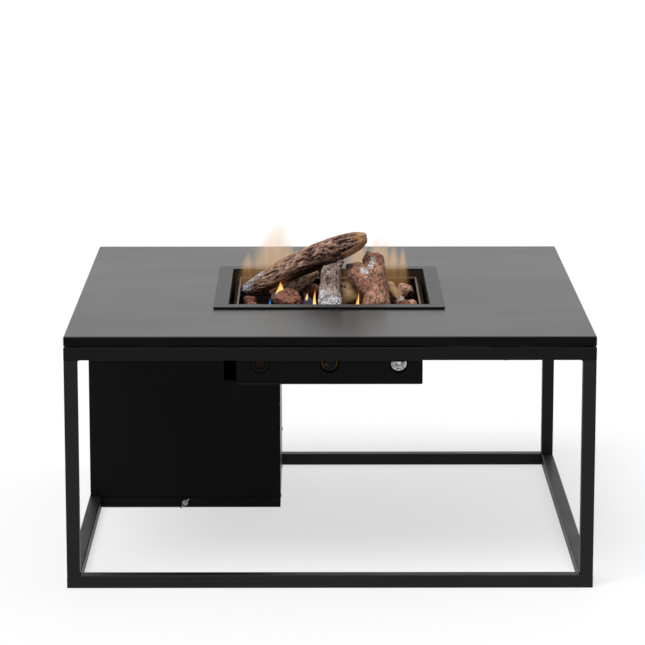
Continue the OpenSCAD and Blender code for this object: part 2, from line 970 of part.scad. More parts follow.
// Quarter-round bend between the floor and a side wall
module corner_bend(s) {
    intersection() {
        difference() {
            rod_y(control_r, control_front + control_sheet / 2, control_back);
            rod_y(control_r - control_sheet, control_front - over, control_back + over);
        }
        box([s > 0 ? 0 : -control_r - over, control_front - over, -control_r - over],
            [s > 0 ? control_r + over : 0, control_back + over, 0]);
    }
}

module control_bracket() {
    low = control_bottom + control_sheet;
    color("#77787a")
        difference() {
            union() {
                box([-bracket_w / 2, bracket_front, low + control_r],
                    [bracket_w / 2, bracket_back, control_z + bracket_top]);
                box([-bracket_w / 2 + control_r, bracket_front, low],
                    [bracket_w / 2 - control_r, bracket_back, low + control_r + over]);
                box([-control_pitch / 2 - 30, bracket_front, low],
                    [-control_pitch / 2 + 10, bracket_back + 12, low + control_sheet]);
                box([control_pitch / 2 - 30, bracket_front, low],
                    [control_pitch / 2 + 30, bracket_back + 12, low + control_sheet]);
            }
            for (i = [-1 : 1])
                at_control(i)
                    rod_y(neck_r + fit, bracket_front - over, bracket_back + over);
        }
}

module control_nuts() {
    color("#b9bbbd") {
        for (i = [-1 : 1])
            at_control(i)
                difference() {
                    hex_y(neck_hex, bracket_front - neck_nut, bracket_front);
                    rod_y(neck_r + fit, bracket_front - neck_nut - over, bracket_front + over);
                }
        for (p = control_stud_points())
            translate([p.x, p.y, under_top - control_sheet - 4])
                difference() {
                    cylinder(d = 8 / cos(30), h = 4, $fn = 6);
                    rod_z(stud_r + fit, -over, 4 + over);
                }
    }
}

module gas_valve() {
    color("#b5a06a")
        difference() {
            union() {
                box([-valve_w / 2, bracket_back, valve_low],
                    [valve_w / 2, valve_back, control_z + valve_top]);
                at_control(0)
                    rod_y(neck_r, neck_front, bracket_back + over);
            }
            at_control(0)
                rod_y(spindle_r + fit, neck_front - over, neck_front + spindle_tail + knob_travel + 2);
            translate([0, 0, pipe_z])
                rod_y(pipe_r - 1, valve_back - 10, valve_back + over);
            for (s = [-1, 1])
                box([s * valve_w / 2 - 6, bracket_back + 12, control_z - 8],
                    [s * valve_w / 2 + 6, valve_back - 12, control_z + valve_top + over]);
        }
}

module spindle_collar() {
    color("#c9c4b4")
        at_control(0)
            difference() {
                rod_y(collar_r, collar_back - collar_t, collar_back);
                rod_y(spindle_r + fit, collar_back - collar_t - over, collar_back + over);
            }
}

// Cut that leaves a flat on the spindle, or the matching flat in the knob's bore
module spindle_flat_cut(gap) {
    box([spindle_flat + gap, knob_front - over, -spindle_r - over],
        [spindle_r + over, knob_back, spindle_r + over]);
}

module valve_spindle() {
    color("#b08d3c")
        at_control(0)
            difference() {
                rod_y(spindle_r, knob_front + 6, neck_front + spindle_tail);
                spindle_flat_cut(0);
            }
}

module control_knob() {
    depth = knob_back - knob_front;
    color("#161617")
        at_control(0)
            difference() {
                translate([0, knob_front, 0])
                    rotate([-90, 0, 0])
                        rotate_extrude()
                            polygon([
                                [0, 0], [grip_r - 1.5, 0], [grip_r, 1.5], [grip_r, depth - 4],
                                [knob_r - 0.5, depth - 4], [knob_r, depth - 3.5], [knob_r, depth],
                                [0, depth]
                            ]);
                for (i = [0 : 11])
                    rotate([0, 30 * i + 15, 0])
                        translate([grip_r + 1, 0, 0])
                            rod_y(1.8, knob_front + 3, knob_back - 4);
                difference() {
                    rod_y(spindle_r + fit, knob_front + 5.5, knob_back + over);
                    spindle_flat_cut(fit);
                }
                knob_marks(fit, knob_front - over);
            }
}

// Pointer inlaid in the knob's front
module knob_marks(gap, front) {
    box([-grip_r + 2 - gap, front, -1 - gap], [-2.5 + gap, knob_front + 1, 1 + gap]);
}

module knob_trim() {
    seat = knob_back - 4;
    color("#c39a45")
        at_control(0) {
            knob_marks(0, knob_front - 0.3);
            difference() {
                rod_y(knob_r - 0.7, seat - 0.8, seat);
                rod_y(grip_r + 0.3, seat - 0.8 - over, seat + over);
            }
        }
}

module igniter_body() {
    color("#19191a")
        at_control(-1)
            difference() {
                union() {
                    rod_y(bezel_r, bezel_front, bezel_front + bezel_t);
                    rod_y(sleeve_r, bezel_front + bezel_t / 2, bracket_front - neck_nut);
                    rod_y(neck_r, bracket_front - neck_nut - over, rear_back);
                }
                rod_y(button_r + fit, bezel_front - over, button_bore_end);
            }
}

module igniter_button() {
    color("#6d2a20")
        at_control(-1)
            translate([0, button_front, 0])
                rotate([-90, 0, 0])
                    rotate_extrude()
                        polygon([
                            [0, 0.8], [button_r - 4, 0.4], [button_r - 1.2, 0], [button_r, 1.2],
                            [button_r, button_len], [0, button_len]
                        ]);
}

module battery_holder() {
    color("#202022")
        at_control(1)
            difference() {
                union() {
                    rod_y(sleeve_r, cap_seat + rest_gap, bracket_front - neck_nut);
                    rod_y(neck_r, bracket_front - neck_nut - over, rear_back);
                }
                rod_y(cap_plug_r + fit, cap_seat - over, cap_seat + cap_plug + 1);
                rod_y(cell_r + 0.2, cap_seat, cap_seat + cap_plug + 1 + cell_len + rest_gap);
            }
}

module battery_cell() {
    start = cap_seat + cap_plug + 1;
    color("#8f9093")
        at_control(1)
            rod_y(cell_r, start, start + cell_len);
}

// Domed chrome cap with a coin slot
module battery_cap() {
    front = cap_out + (cap_seat - control_front);
    dome = (cap_r * cap_r + 36) / 12;
    color("#dcdee0")
        at_control(1)
            difference() {
                union() {
                    intersection() {
                        translate([0, cap_seat - front + dome, 0])
                            sphere(dome);
                        rod_y(cap_r, cap_seat - front, cap_seat);
                    }
                    rod_y(cap_plug_r, cap_seat - over, cap_seat + cap_plug);
                }
                box([-cap_r, cap_seat - front - over, -0.9], [cap_r, cap_seat - front + 2.2, 0.9]);
            }
}

module gas_inlet() {
    start = -valve_w / 2;
    hex = 10;
    barbs = 3;
    color("#b99a4b")
        translate([0, inlet_y, inlet_z]) {
            translate([start - hex, 0, 0])
                rotate([0, 90, 0])
                    cylinder(d = 14 / cos(30), h = hex, $fn = 6);
            difference() {
                union() {
                    rod_x(inlet_r, start - hex - inlet_len, start - hex + over);
                    for (i = [0 : barbs - 1])
                        translate([start - hex - inlet_len - 5 * (i + 1), 0, 0])
                            rotate([0, 90, 0])
                                cylinder(r1 = inlet_r - 1, r2 = inlet_r, h = 5);
                }
                rod_x(inlet_r - 2, start - hex - inlet_len - 5 * barbs - over, start - hex - 2);
            }
        }
}

module gas_pipe() {
    color("#a7a9ab")
        translate([0, 0, pipe_z])
            difference() {
                rod_y(pipe_r, valve_back, -injector_reach);
                rod_y(pipe_r - 1, valve_back - over, -injector_reach + over);
            }
}

// Point on a smooth curve through p1 and p2
function curve_point(p0, p1, p2, p3, t) =
    0.5 * (2 * p1 + (p2 - p0) * t + (2 * p0 - 5 * p1 + 4 * p2 - p3) * t * t +
           (3 * p1 - p0 - 3 * p2 + p3) * t * t * t);

function smooth_route(route) = concat(
    [for (i = [0 : len(route) - 2], s = [0 : lead_steps - 1])
        curve_point(route[max(i - 1, 0)], route[i], route[i + 1],
                    route[min(i + 2, len(route) - 1)], s / lead_steps)],
    [route[len(route) - 1]]
);

function route_heading(points, i) =
    let (step = points[min(i + 1, len(points) - 1)] - points[max(i - 1, 0)])
    step / norm(step);

module lead(route, first, last) {
    points = smooth_route(route);
    n = len(points);
    polyhedron(
        [for (i = [0 : n - 1], j = [0 : lead_sides - 1])
            let (
                along = i == 0 ? first : i == n - 1 ? last : route_heading(points, i),
                side = cross(along, [1, 0, 0]) / norm(cross(along, [1, 0, 0])),
                up = cross(side, along),
                a = -360 * j / lead_sides
            )
            points[i] + lead_r * (side * cos(a) + up * sin(a))],
        tube_faces(n, lead_sides)
    );
}

module ignition_lead() {
    color("#d8d2c8")
        lead(ignition_route, [0, 1, 0], [0, 0, 1]);
}

module thermocouple_lead() {
    color("#a8683c")
        lead(thermocouple_route, [0, 1, 0], [0, 0, 1]);
}

// Gas-bottle box

module gas_tray() {
    x1 = box_x1 - box_sheet;
    t = box_sheet;
    color("#1f1f21")
        difference() {
            box([inner_x0, tray_front, tray_low], [x1, inner_y1, tube]);
            box([inner_x0 + t, tray_front + t, tray_low + t], [x1 - t, inner_y1 - t, tube + over]);
            box([latch_x - tongue_len / 2 - tongue_gap, tray_front - over,
                 latch_z - tongue_h / 2 - tongue_gap],
                [latch_x + tongue_len / 2 + tongue_gap, tray_front + t + over,
                 latch_z + tongue_h / 2 + tongue_gap]);
            fixing_shanks(concat(tray_left_fixings, tray_back_fixings, right_tray_fixings));
        }
}

module gas_left_panel() {
    x0 = box_x0 + panel_inset;
    t = box_sheet;
    y0 = door_back + rest_gap;
    y1 = inner_y1 - rest_gap;
    color("#1f1f21")
        difference() {
            union() {
                box([x0, y0, tube], [x0 + t, y1, panel_top]);
                box([x0, y0, tube], [x0 + panel_flange, y1, tube + t]);
                box([x0, y0, panel_top - t], [x0 + panel_flange, y1, panel_top]);
            }
            fixing_shanks(left_fixings);
            screw_shafts(top_screw_points, access_r, panel_top - 2 * t, panel_top + over);
        }
}

module gas_back_panel() {
    x0 = inner_x0 + rest_gap;
    x1 = box_x1 - box_sheet;
    y1 = table_d / 2 - panel_inset;
    t = box_sheet;
    color("#1f1f21")
        difference() {
            union() {
                box([x0, y1 - t, tube], [x1, y1, panel_top]);
                box([x0, y1 - panel_flange, tube], [x1, y1, tube + t]);
                box([x0, y1 - panel_flange, panel_top - t], [x1, y1, panel_top]);
                box([x1 - t, inner_y1 - back_return, tube + t], [x1, y1, panel_top - t]);
            }
            fixing_shanks(concat(back_fixings, right_back_fixings));
            screw_shafts(top_screw_points, access_r, panel_top - 2 * t, panel_top + over);
        }
}

module gas_right_panel() {
    t = box_sheet;
    y0 = door_back + rest_gap;
    y1 = inner_y1 - rest_gap;
    color("#1f1f21")
        difference() {
            box([box_x1 - t, y0, tray_low], [box_x1, y1, panel_top]);
            box([box_x1 - t - over, y0 - over, pan_bottom - notch_clear],
                [box_x1 + over, pan_w / 2 + notch_clear, panel_top + over]);
            fixing_shanks(concat(right_tray_fixings, right_back_fixings));
        }
}

module panel_screws() {
    all_fixings = concat(left_fixings, back_fixings, tray_left_fixings, tray_back_fixings,
                         right_tray_fixings, right_back_fixings);
    color("#1b1b1c")
        for (f = all_fixings)
            translate(f[0])
                rotate(f[1]) {
                    rod_z(fixing_r, -over, fixing_len);
                    difference() {
                        rod_z(fixing_head_r, -fixing_head_h, 0);
                        translate([0, 0, -fixing_head_h - over])
                            cylinder(d = 2.5 / cos(30), h = 1 + over, $fn = 6);
                    }
                }
}

module gas_door() {
    x0 = box_x0 + door_side;
    t = box_sheet;
    strip_x0 = inner_x0 + door_side;
    strip_x1 = box_x1 - t - 1;
    color("#1f1f21")
        difference() {
            union() {
                box([x0, box_y0, strip_top], [box_x1, door_back, door_top]);
                box([strip_x0, box_y0, strip_low], [strip_x1, door_back, strip_top - strip_groove]);
                box([strip_x0, door_back, strip_low],
                    [strip_x1, strip_back, strip_top + strip_lap]);
                for (x = [left_ear_x, right_ear_x])
                    hinge_ear(x);
            }
            box([notch_x, box_y0 - over, notch_z], [box_x1 + over, door_back + over, door_top + over]);
            translate([0, hinge_y, hinge_z])
                rod_x(rod_r + fit, left_ear_x - over, right_ear_x + ear_t + over);
            translate([latch_x, 0, latch_z])
                rod_y(latch_r + fit, box_y0 - over, strip_back + over);
        }
}

// Ear that is folded back from the door's top edge round the hinge rod
module hinge_ear(x) {
    box([x, box_y0 + box_sheet / 2, door_top - 30], [x + ear_t, hinge_y + lug_r - 2, door_top]);
    box([x, hinge_y - lug_r, door_top - over], [x + ear_t, hinge_y + lug_r, hinge_z]);
    translate([0, hinge_y, hinge_z])
        rod_x(lug_r, x, x + ear_t);
}

module hinge_rod() {
    head = 2;
    x0 = left_lug_x - rest_gap;
    x1 = right_ear_x + ear_t + rest_gap;
    color("#8d8f92")
        translate([0, hinge_y, hinge_z]) {
            rod_x(rod_r, x0 - over, x1 + over);
            rod_x(rod_r + 2, x0 - head, x0);
            rod_x(rod_r + 2, x1, x1 + head);
        }
}

// Lugs that carry the hinge rod, one on the left top rail, one on a stiffener
module hinge_brackets() {
    hat_z = under_top - stiffener_h;
    foot = 24;
    color("#1f1f21")
        difference() {
            union() {
                hinge_lug(left_lug_x, frame_h - 2);
                hinge_lug(right_lug_x, hat_z);
                box([-stiffener_x - foot / 2, hinge_y - lug_r, hat_z - lug_t],
                    [-stiffener_x + foot / 2, hinge_y + lug_r, hat_z]);
            }
            translate([0, hinge_y, hinge_z])
                rod_x(rod_r + fit, left_lug_x - over, right_lug_x + lug_t + over);
        }
}

module hinge_lug(x, top) {
    box([x, hinge_y - lug_r, hinge_z], [x + lug_t, hinge_y + lug_r, top]);
    translate([0, hinge_y, hinge_z])
        rod_x(lug_r, x, x + lug_t);
}

// Quarter-turn latch: two wings in front of the door, a tongue behind the tray's lip
module wing_latch() {
    hub = 6;
    wing_r = 5.5;
    wing_t = 2.4;
    wing_front = box_y0 - 11;
    color("#b9bbbd")
        translate([latch_x, 0, latch_z]) {
            rod_y(latch_r, wing_front + 2, tongue_front + tongue_t);
            rod_y(hub, box_y0 - 6, box_y0 - rest_gap);
            rotate([0, wing_turn, 0])
                for (s = [-1, 1])
                    translate([s * (wing_span / 2 - wing_r), 0, 0])
                        intersection() {
                            translate([0, wing_front + wing_r, -wing_t / 2])
                                cylinder(r = wing_r, h = wing_t);
                            box([-wing_r, wing_front, -wing_t], [wing_r, box_y0 - 2, wing_t]);
                        }
            box([-tongue_len / 2, tongue_front, -tongue_h / 2],
                [tongue_len / 2, tongue_front + tongue_t, tongue_h / 2]);
        }
}

leg(-1, -1);  // leg_front_left
leg(1, -1);  // leg_front_right
leg(-1, 1);  // leg_back_left
leg(1, 1);  // leg_back_right
top_rail(0);  // top_rail_front
top_rail(180);  // top_rail_back
top_rail(-90);  // top_rail_left
top_rail(90);  // top_rail_right
bottom_rail(0);  // bottom_rail_front
bottom_rail(180);  // bottom_rail_back
bottom_rail(-90);  // bottom_rail_left
bottom_rail(90);  // bottom_rail_right
table_top();
top_stiffeners();
top_spacers();
top_screws();
top_nuts();
burner_pan();
burner_gasket();
inner_tray();
burner_plate();
burner_tube();
mixer_tube();
injector();
electrode();
thermocouple_probe();
log_long();
log_ash();
log_forked();
log_grey();
log_small();
log_tan();
lava_rocks();
control_box();
control_bracket();
gas_valve();
control_nuts();
spindle_collar();
valve_spindle();
control_knob();
knob_trim();
igniter_body();
igniter_button();
battery_holder();
battery_cell();
battery_cap();
gas_inlet();
gas_pipe();
ignition_lead();
thermocouple_lead();
gas_tray();
gas_left_panel();
gas_back_panel();
gas_right_panel();
panel_screws();
gas_door();
hinge_rod();
hinge_brackets();
wing_latch();
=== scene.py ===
# %% [markdown]
# # A low fire pit table
#
# The table was drawn as solids in a CAD program: a frame of black square tube, a folded sheet top, a
# gas burner with ceramic logs, a control box and a box for the gas bottle. This lesson gives those
# solids their looks. The sheet metal keeps its CAD shape and gets a finish. The logs and the lava
# rocks are too rough for a CAD program, so they are worked out here with numpy, where their solids
# lie. All lengths are metres, with the origin on the floor under the middle of the table.

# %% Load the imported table
import json
import math

import bpy
import numpy as np
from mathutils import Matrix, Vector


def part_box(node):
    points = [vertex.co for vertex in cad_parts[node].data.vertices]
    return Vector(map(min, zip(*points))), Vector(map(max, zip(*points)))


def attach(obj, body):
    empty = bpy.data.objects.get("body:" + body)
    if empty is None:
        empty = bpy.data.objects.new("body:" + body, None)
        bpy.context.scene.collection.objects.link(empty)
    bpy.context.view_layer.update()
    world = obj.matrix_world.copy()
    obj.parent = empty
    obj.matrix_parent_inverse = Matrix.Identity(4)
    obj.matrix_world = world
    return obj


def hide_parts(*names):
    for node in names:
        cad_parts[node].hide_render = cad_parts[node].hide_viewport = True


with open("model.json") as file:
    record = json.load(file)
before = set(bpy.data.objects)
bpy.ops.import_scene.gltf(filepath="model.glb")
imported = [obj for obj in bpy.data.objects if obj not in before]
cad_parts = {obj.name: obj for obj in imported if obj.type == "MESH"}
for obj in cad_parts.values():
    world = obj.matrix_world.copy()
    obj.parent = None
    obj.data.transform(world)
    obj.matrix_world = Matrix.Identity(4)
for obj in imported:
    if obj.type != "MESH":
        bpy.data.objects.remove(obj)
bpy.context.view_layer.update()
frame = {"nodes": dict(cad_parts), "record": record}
cad_nodes = frame["nodes"]

# %% [markdown]
# ## Camera
#
# The table was photographed from far off with a long lens, which looks down at about 11 degrees. A near
# camera with a short lens would show the same front but a much smaller back. The place and the lens
# below were fitted by least squares to the corners of the top and of the frame.

# %% Camera
CAMERA_PLACE = (-0.0349, -6.0335, 1.6092)
CAMERA_DIP = 11.185      # degrees below level
CAMERA_TURN = 0.213      # degrees to the right
CAMERA_LENS = 168.43     # millimetres
SENSOR = 36.0            # millimetres

camera_data = bpy.data.cameras.new("camera")
camera_data.sensor_width = SENSOR
camera_data.lens = CAMERA_LENS
camera_data.clip_start, camera_data.clip_end = 0.1, 200.0
camera = bpy.data.objects.new("camera", camera_data)
bpy.context.scene.collection.objects.link(camera)
camera.location = CAMERA_PLACE
camera.rotation_euler = (math.radians(90 - CAMERA_DIP), 0, math.radians(-CAMERA_TURN))
bpy.context.scene.camera = camera
print("camera sees", round(2 * math.degrees(math.atan(SENSOR / 2 / CAMERA_LENS)), 2), "degrees")

# %% [markdown]
# ## Node helpers
#
# Every finish is a small tree of shader nodes. It could be wired by hand in the editor, but then nobody
# could read it here. A few helpers make a node, set its options and feed its sockets: a plain value is
# set on the socket, and the output of another node is linked to it.

# %% Make and feed a node
def feed(tree, socket, value):
    """Links the output of another node to a socket, or sets a plain value on it."""
    if isinstance(value, bpy.types.NodeSocket):
        tree.links.new(value, socket)
    else:
        socket.default_value = value


def add(tree, kind, options=(), **sockets):
    """One new shader node. Socket names are written with _ for a space."""
    node = tree.nodes.new("ShaderNode" + kind)
    for key, value in dict(options).items():
        setattr(node, key, value)
    for key, value in sockets.items():
        feed(tree, node.inputs[key.replace("_", " ")], value)
    return node


def sums(tree, operation, a, b):
    """Arithmetic on two numbers or sockets, kept between 0 and 1."""
    node = tree.nodes.new("ShaderNodeMath")
    node.operation = operation
    node.use_clamp = True
    for socket, value in zip(node.inputs, (a, b)):
        feed(tree, socket, value)
    return node.outputs[0]


def new_finish(name):
    """An empty material: its tree and its output node."""
    material = bpy.data.materials.new(name)
    material.use_nodes = True
    material.node_tree.nodes.clear()
    return material, material.node_tree, material.node_tree.nodes.new("ShaderNodeOutputMaterial")


print("node helpers ready")

# %% Colours and patterns
def tone(hex_code):
    """A colour written as six hexadecimal digits, as linear red, green, blue and 1."""
    channels = np.array([int(hex_code[i:i + 2], 16) for i in (0, 2, 4)]) / 255
    linear = np.where(channels <= 0.04045, channels / 12.92, ((channels + 0.055) / 1.055) ** 2.4)
    return (*linear.tolist(), 1.0)


def blend(tree, share, first, second, way="MIX"):
    """Colour output of a mix: share 0 gives the first colour, share 1 the second."""
    node = tree.nodes.new("ShaderNodeMix")
    node.data_type = "RGBA"
    node.blend_type = way
    for socket, value in zip((node.inputs[0], node.inputs[6], node.inputs[7]), (share, first, second)):
        feed(tree, socket, value)
    return node.outputs[2]


def step(tree, value, low, high, out_low=0.0, out_high=1.0):
    """Rises smoothly from out_low to out_high while the value goes from low to high."""
    node = add(tree, "MapRange", {"interpolation_type": "SMOOTHSTEP"}, Value=value, From_Min=low,
               From_Max=high, To_Min=out_low, To_Max=out_high)
    return node.outputs[0]


def grain(tree, coords, scale, detail=3.0, roughness=0.55):
    """Value of a noise with this many features per metre."""
    return add(tree, "TexNoise", Vector=coords, Scale=scale, Detail=detail,
               Roughness=roughness).outputs[0]


def ramp(tree, value, stops):
    """Colour by value: stops are pairs of a value and a colour code, in rising order."""
    node = add(tree, "ValToRGB", Fac=value)
    elements = node.color_ramp.elements
    for element, (place, code) in zip(elements, (stops[0], stops[-1])):
        element.position, element.color = place, tone(code)
    for place, code in stops[1:-1]:
        elements.new(place).color = tone(code)
    return node.outputs[0]


print("colour helpers ready")

# %% [markdown]
# ## Floor and light
#
# The table stands on seamless white paper. The paper could be made white by flooding it with light,
# but then the table would be too bright as well. Instead its shader adds a little light of its own where
# the camera or a reflection sees it, so the paper is white while the lamps stay at a plain level and the
# table's soft shadow remains. Two broad suns light the paper evenly to the horizon: a key from the front
# left and a fill from behind. At 35 and 60 degrees wide they are as soft as large softboxes.

# %% White paper
bpy.context.scene.view_settings.view_transform = "Standard"


def background_rays(tree):
    """1 for rays that show the background: from the camera, off a shine or through a clear thing."""
    path = add(tree, "LightPath")
    seen = sums(tree, "MAXIMUM", path.outputs["Is Camera Ray"], path.outputs["Is Glossy Ray"])
    return sums(tree, "MAXIMUM", seen, path.outputs["Is Transmission Ray"])


def white_paper(half=30.0, drop=0.0004, grey=0.38, glow=0.64):
    """A flat square, a hair under the frame so that no faces coincide. Its own glow is added to the
    grey that the lamps light."""
    corners = np.array([(-1, -1), (1, -1), (1, 1), (-1, 1)]) * half
    mesh = bpy.data.meshes.new("paper")
    mesh.from_pydata([(x, y, -drop) for x, y in corners], [], [(0, 1, 2, 3)])
    material, tree, output = new_finish("white_paper")
    cover = add(tree, "BsdfDiffuse", Color=(grey, grey, grey, 1))
    shine = add(tree, "Emission", Color=(1, 1, 1, 1),
                Strength=sums(tree, "MULTIPLY", background_rays(tree), glow))
    both = add(tree, "AddShader")
    tree.links.new(cover.outputs[0], both.inputs[0])
    tree.links.new(shine.outputs[0], both.inputs[1])
    tree.links.new(both.outputs[0], output.inputs["Surface"])
    mesh.materials.append(material)
    paper = bpy.data.objects.new("paper", mesh)
    bpy.context.scene.collection.objects.link(paper)


white_paper()
print("white paper")

# %% Light
AMBIENT = 0.28      # strength of the sky for rays that light the table


def soft_sun(name, strength, lift, turn, width):
    """A sun that shines from lift degrees above the horizon; turn 0 is the front, 90 the right."""
    lamp = bpy.data.lights.new(name, "SUN")
    lamp.energy = strength
    lamp.angle = math.radians(width)
    sun = bpy.data.objects.new(name, lamp)
    sun.rotation_euler = (math.radians(90 - lift), 0, math.radians(turn))
    bpy.context.scene.collection.objects.link(sun)


world = bpy.data.worlds.new("studio")
bpy.context.scene.world = world
world.use_nodes = True
world.node_tree.nodes.clear()
sky = add(world.node_tree, "Background", Color=(1, 1, 1, 1),
          Strength=step(world.node_tree, background_rays(world.node_tree), 0, 1, AMBIENT, 1.0))
world_out = world.node_tree.nodes.new("ShaderNodeOutputWorld")
world.node_tree.links.new(sky.outputs[0], world_out.inputs["Surface"])
soft_sun("key", strength=2.0, lift=60, turn=-28, width=35)
soft_sun("fill", strength=0.7, lift=55, turn=150, width=60)
print("sky and two suns")

# %% [markdown]
# ## Plain finishes
#
# Powder coat, plated steel, brass, plastic and rubber differ in colour and gloss, but their surfaces
# vary in the same two ways: a broad cloudiness, and a fine grain that also breaks up the gloss. One
# recipe with a row of numbers for each finish is shorter than a tree for each. The CAD nodes sit at the
# origin, so Object coordinates are metres in the table's own frame.

# %% Recipe for a plain finish
def plain_finish(name, dark, light, cloud, fine, gloss, metallic, specular, bump):
    """Colour and roughness between two values by a mix of broad and fine noise; the fine noise is also
    the relief. cloud and fine are features per metre, gloss the two roughnesses, bump the height of the
    grain in millimetres."""
    material, tree, output = new_finish(name)
    coords = add(tree, "TexCoord").outputs["Object"]
    broad = grain(tree, coords, cloud, 2.0)
    small = grain(tree, coords, fine)
    share = step(tree, sums(tree, "ADD", sums(tree, "MULTIPLY", broad, 0.6),
                            sums(tree, "MULTIPLY", small, 0.4)), 0.3, 0.7)
    shader = add(tree, "BsdfPrincipled", Base_Color=blend(tree, share, tone(dark), tone(light)),
                 Roughness=step(tree, share, 0, 1, *gloss), Metallic=metallic,
                 Specular_IOR_Level=specular)
    if bump:
        relief = add(tree, "Bump", Height=small, Strength=1.0, Distance=bump / 1000)
        tree.links.new(relief.outputs[0], shader.inputs["Normal"])
    tree.links.new(shader.outputs[0], output.inputs["Surface"])
    return material


print("recipe ready")

# %% Numbers of the plain finishes
# dark and light tone, cloud, fine, gloss, metallic, specular level, bump
PLAIN = {
    "frame_black": ("0c0c0d", "121213", 7, 750, (0.42, 0.5), 0.0, 0.115, 0.02),
    # lighter and glossier than frame_black: painted light for the light the floor throws up on the legs
    # and lower rails
    "dusty_black": ("111112", "1a1a1b", 7, 750, (0.42, 0.5), 0.0, 0.2, 0.02),
    "box_black": ("090909", "0e0e0e", 6, 750, (0.44, 0.52), 0.0, 0.09, 0.02),
    "panel_black": ("090909", "0e0e0e", 6, 750, (0.28, 0.34), 0.0, 0.24, 0.02),
    "black_rubber": ("0d0d0d", "171716", 30, 500, (0.7, 0.85), 0.0, 0.3, 0.05),
    "black_steel": ("121213", "1c1c1d", 40, 600, (0.35, 0.48), 0.0, 0.3, 0.01),
    "zinc_steel": ("8a8a86", "b4b3ac", 40, 420, (0.28, 0.42), 1.0, 0.5, 0.01),
    "stainless": ("6f675c", "8f887c", 18, 380, (0.26, 0.4), 1.0, 0.5, 0.01),
    "brass": ("a77c2f", "c79a48", 40, 500, (0.22, 0.36), 1.0, 0.5, 0.01),
    # darker brass for the knob's trim: painted shade, for the shade inside the control box's hole
    "dark_brass": ("3a2a0e", "523d19", 60, 500, (0.3, 0.45), 1.0, 0.5, 0.01),
    "white_ceramic": ("d9d4c6", "ece8dc", 60, 700, (0.5, 0.65), 0.0, 0.4, 0.03),
    "black_plastic": ("090909", "0f0f0f", 40, 900, (0.42, 0.55), 0.0, 0.12, 0.03),
    # the red is darkened for the shade in the igniter's hole: painted shade
    "red_plastic": ("1a0805", "260c08", 60, 900, (0.38, 0.5), 0.0, 0.1, 0.02),
    # the chrome's colour runs from near black to pale by noise: painted reflections, as dark and bright
    # patches
    "chrome": ("08090a", "cfd1d4", 75, 160, (0.05, 0.1), 1.0, 0.5, 0.0),
    "cell_metal": ("8d8e90", "a5a6a8", 60, 600, (0.3, 0.42), 1.0, 0.5, 0.01),
    "aluminium": ("b0b1b3", "c9cacc", 40, 500, (0.25, 0.38), 1.0, 0.5, 0.01),
    "silicone": ("c6beb2", "d8d1c6", 60, 800, (0.5, 0.6), 0.0, 0.4, 0.02),
    "copper": ("96512e", "b56b41", 50, 500, (0.25, 0.4), 1.0, 0.5, 0.01),
}
finishes = {slot: plain_finish(slot, *numbers) for slot, numbers in PLAIN.items()}
print(len(finishes), "plain finishes")

# %% [markdown]
# ## Table top
#
# The top is a sheet with the same black powder coat as the frame, but the camera sees it almost edge
# on, so it mirrors the pale room behind it and looks grey. That comes from the shader's own Fresnel
# effect, and needs no grey paint. The coat of a large flat sheet is never quite even: its gloss wanders
# a little, in wide clouds drawn out along the spray gun's path.

# %% Finish of the top
def top_coat(edge_sheen=0.27):
    """Near-black coat whose roughness wanders in wide clouds, with a fine orange peel. The folded edges
    mirror less than the flat: their share of it is edge_sheen."""
    material, tree, output = new_finish("top_grey")
    coords = add(tree, "TexCoord").outputs["Object"]
    drawn = add(tree, "Mapping", Vector=coords, Scale=(0.5, 1.0, 1.0)).outputs[0]
    clouds = grain(tree, drawn, 5.0, 3.0)
    peel = grain(tree, coords, 620, 2.0)
    share = sums(tree, "ADD", sums(tree, "MULTIPLY", clouds, 0.6), sums(tree, "MULTIPLY", peel, 0.4))
    relief = add(tree, "Bump", Height=peel, Strength=1.0, Distance=0.00001)
    flat = add(tree, "SeparateXYZ", Vector=add(tree, "TexCoord").outputs["Normal"]).outputs[2]
    sheen = blend(tree, step(tree, flat, 0.3, 0.9), (*[edge_sheen] * 3, 1), (1, 1, 1, 1))
    shader = add(tree, "BsdfPrincipled",
                 Base_Color=blend(tree, share, tone("080808"), tone("0c0c0c")),
                 Roughness=step(tree, share, 0.3, 0.7, 0.28, 0.33),
                 Specular_IOR_Level=0.22, Specular_Tint=sheen, Normal=relief.outputs[0])
    tree.links.new(shader.outputs[0], output.inputs["Surface"])
    return material


finishes["top_grey"] = top_coat()
print("top coat")

# %% [markdown]
# ## Burner steel
#
# The burner is coated sheet steel that is heated every evening. Its flange keeps the satin black of the
# coat, the walls turn brown and the bottom is sooty. A heat tint follows height, so the shader reads Z
# from the Object coordinates, shakes it with a noise and looks the colour up in a ramp. A pale band along
# the inner edge of the tray's lip is a painted highlight, placed by a rule on the coordinates.

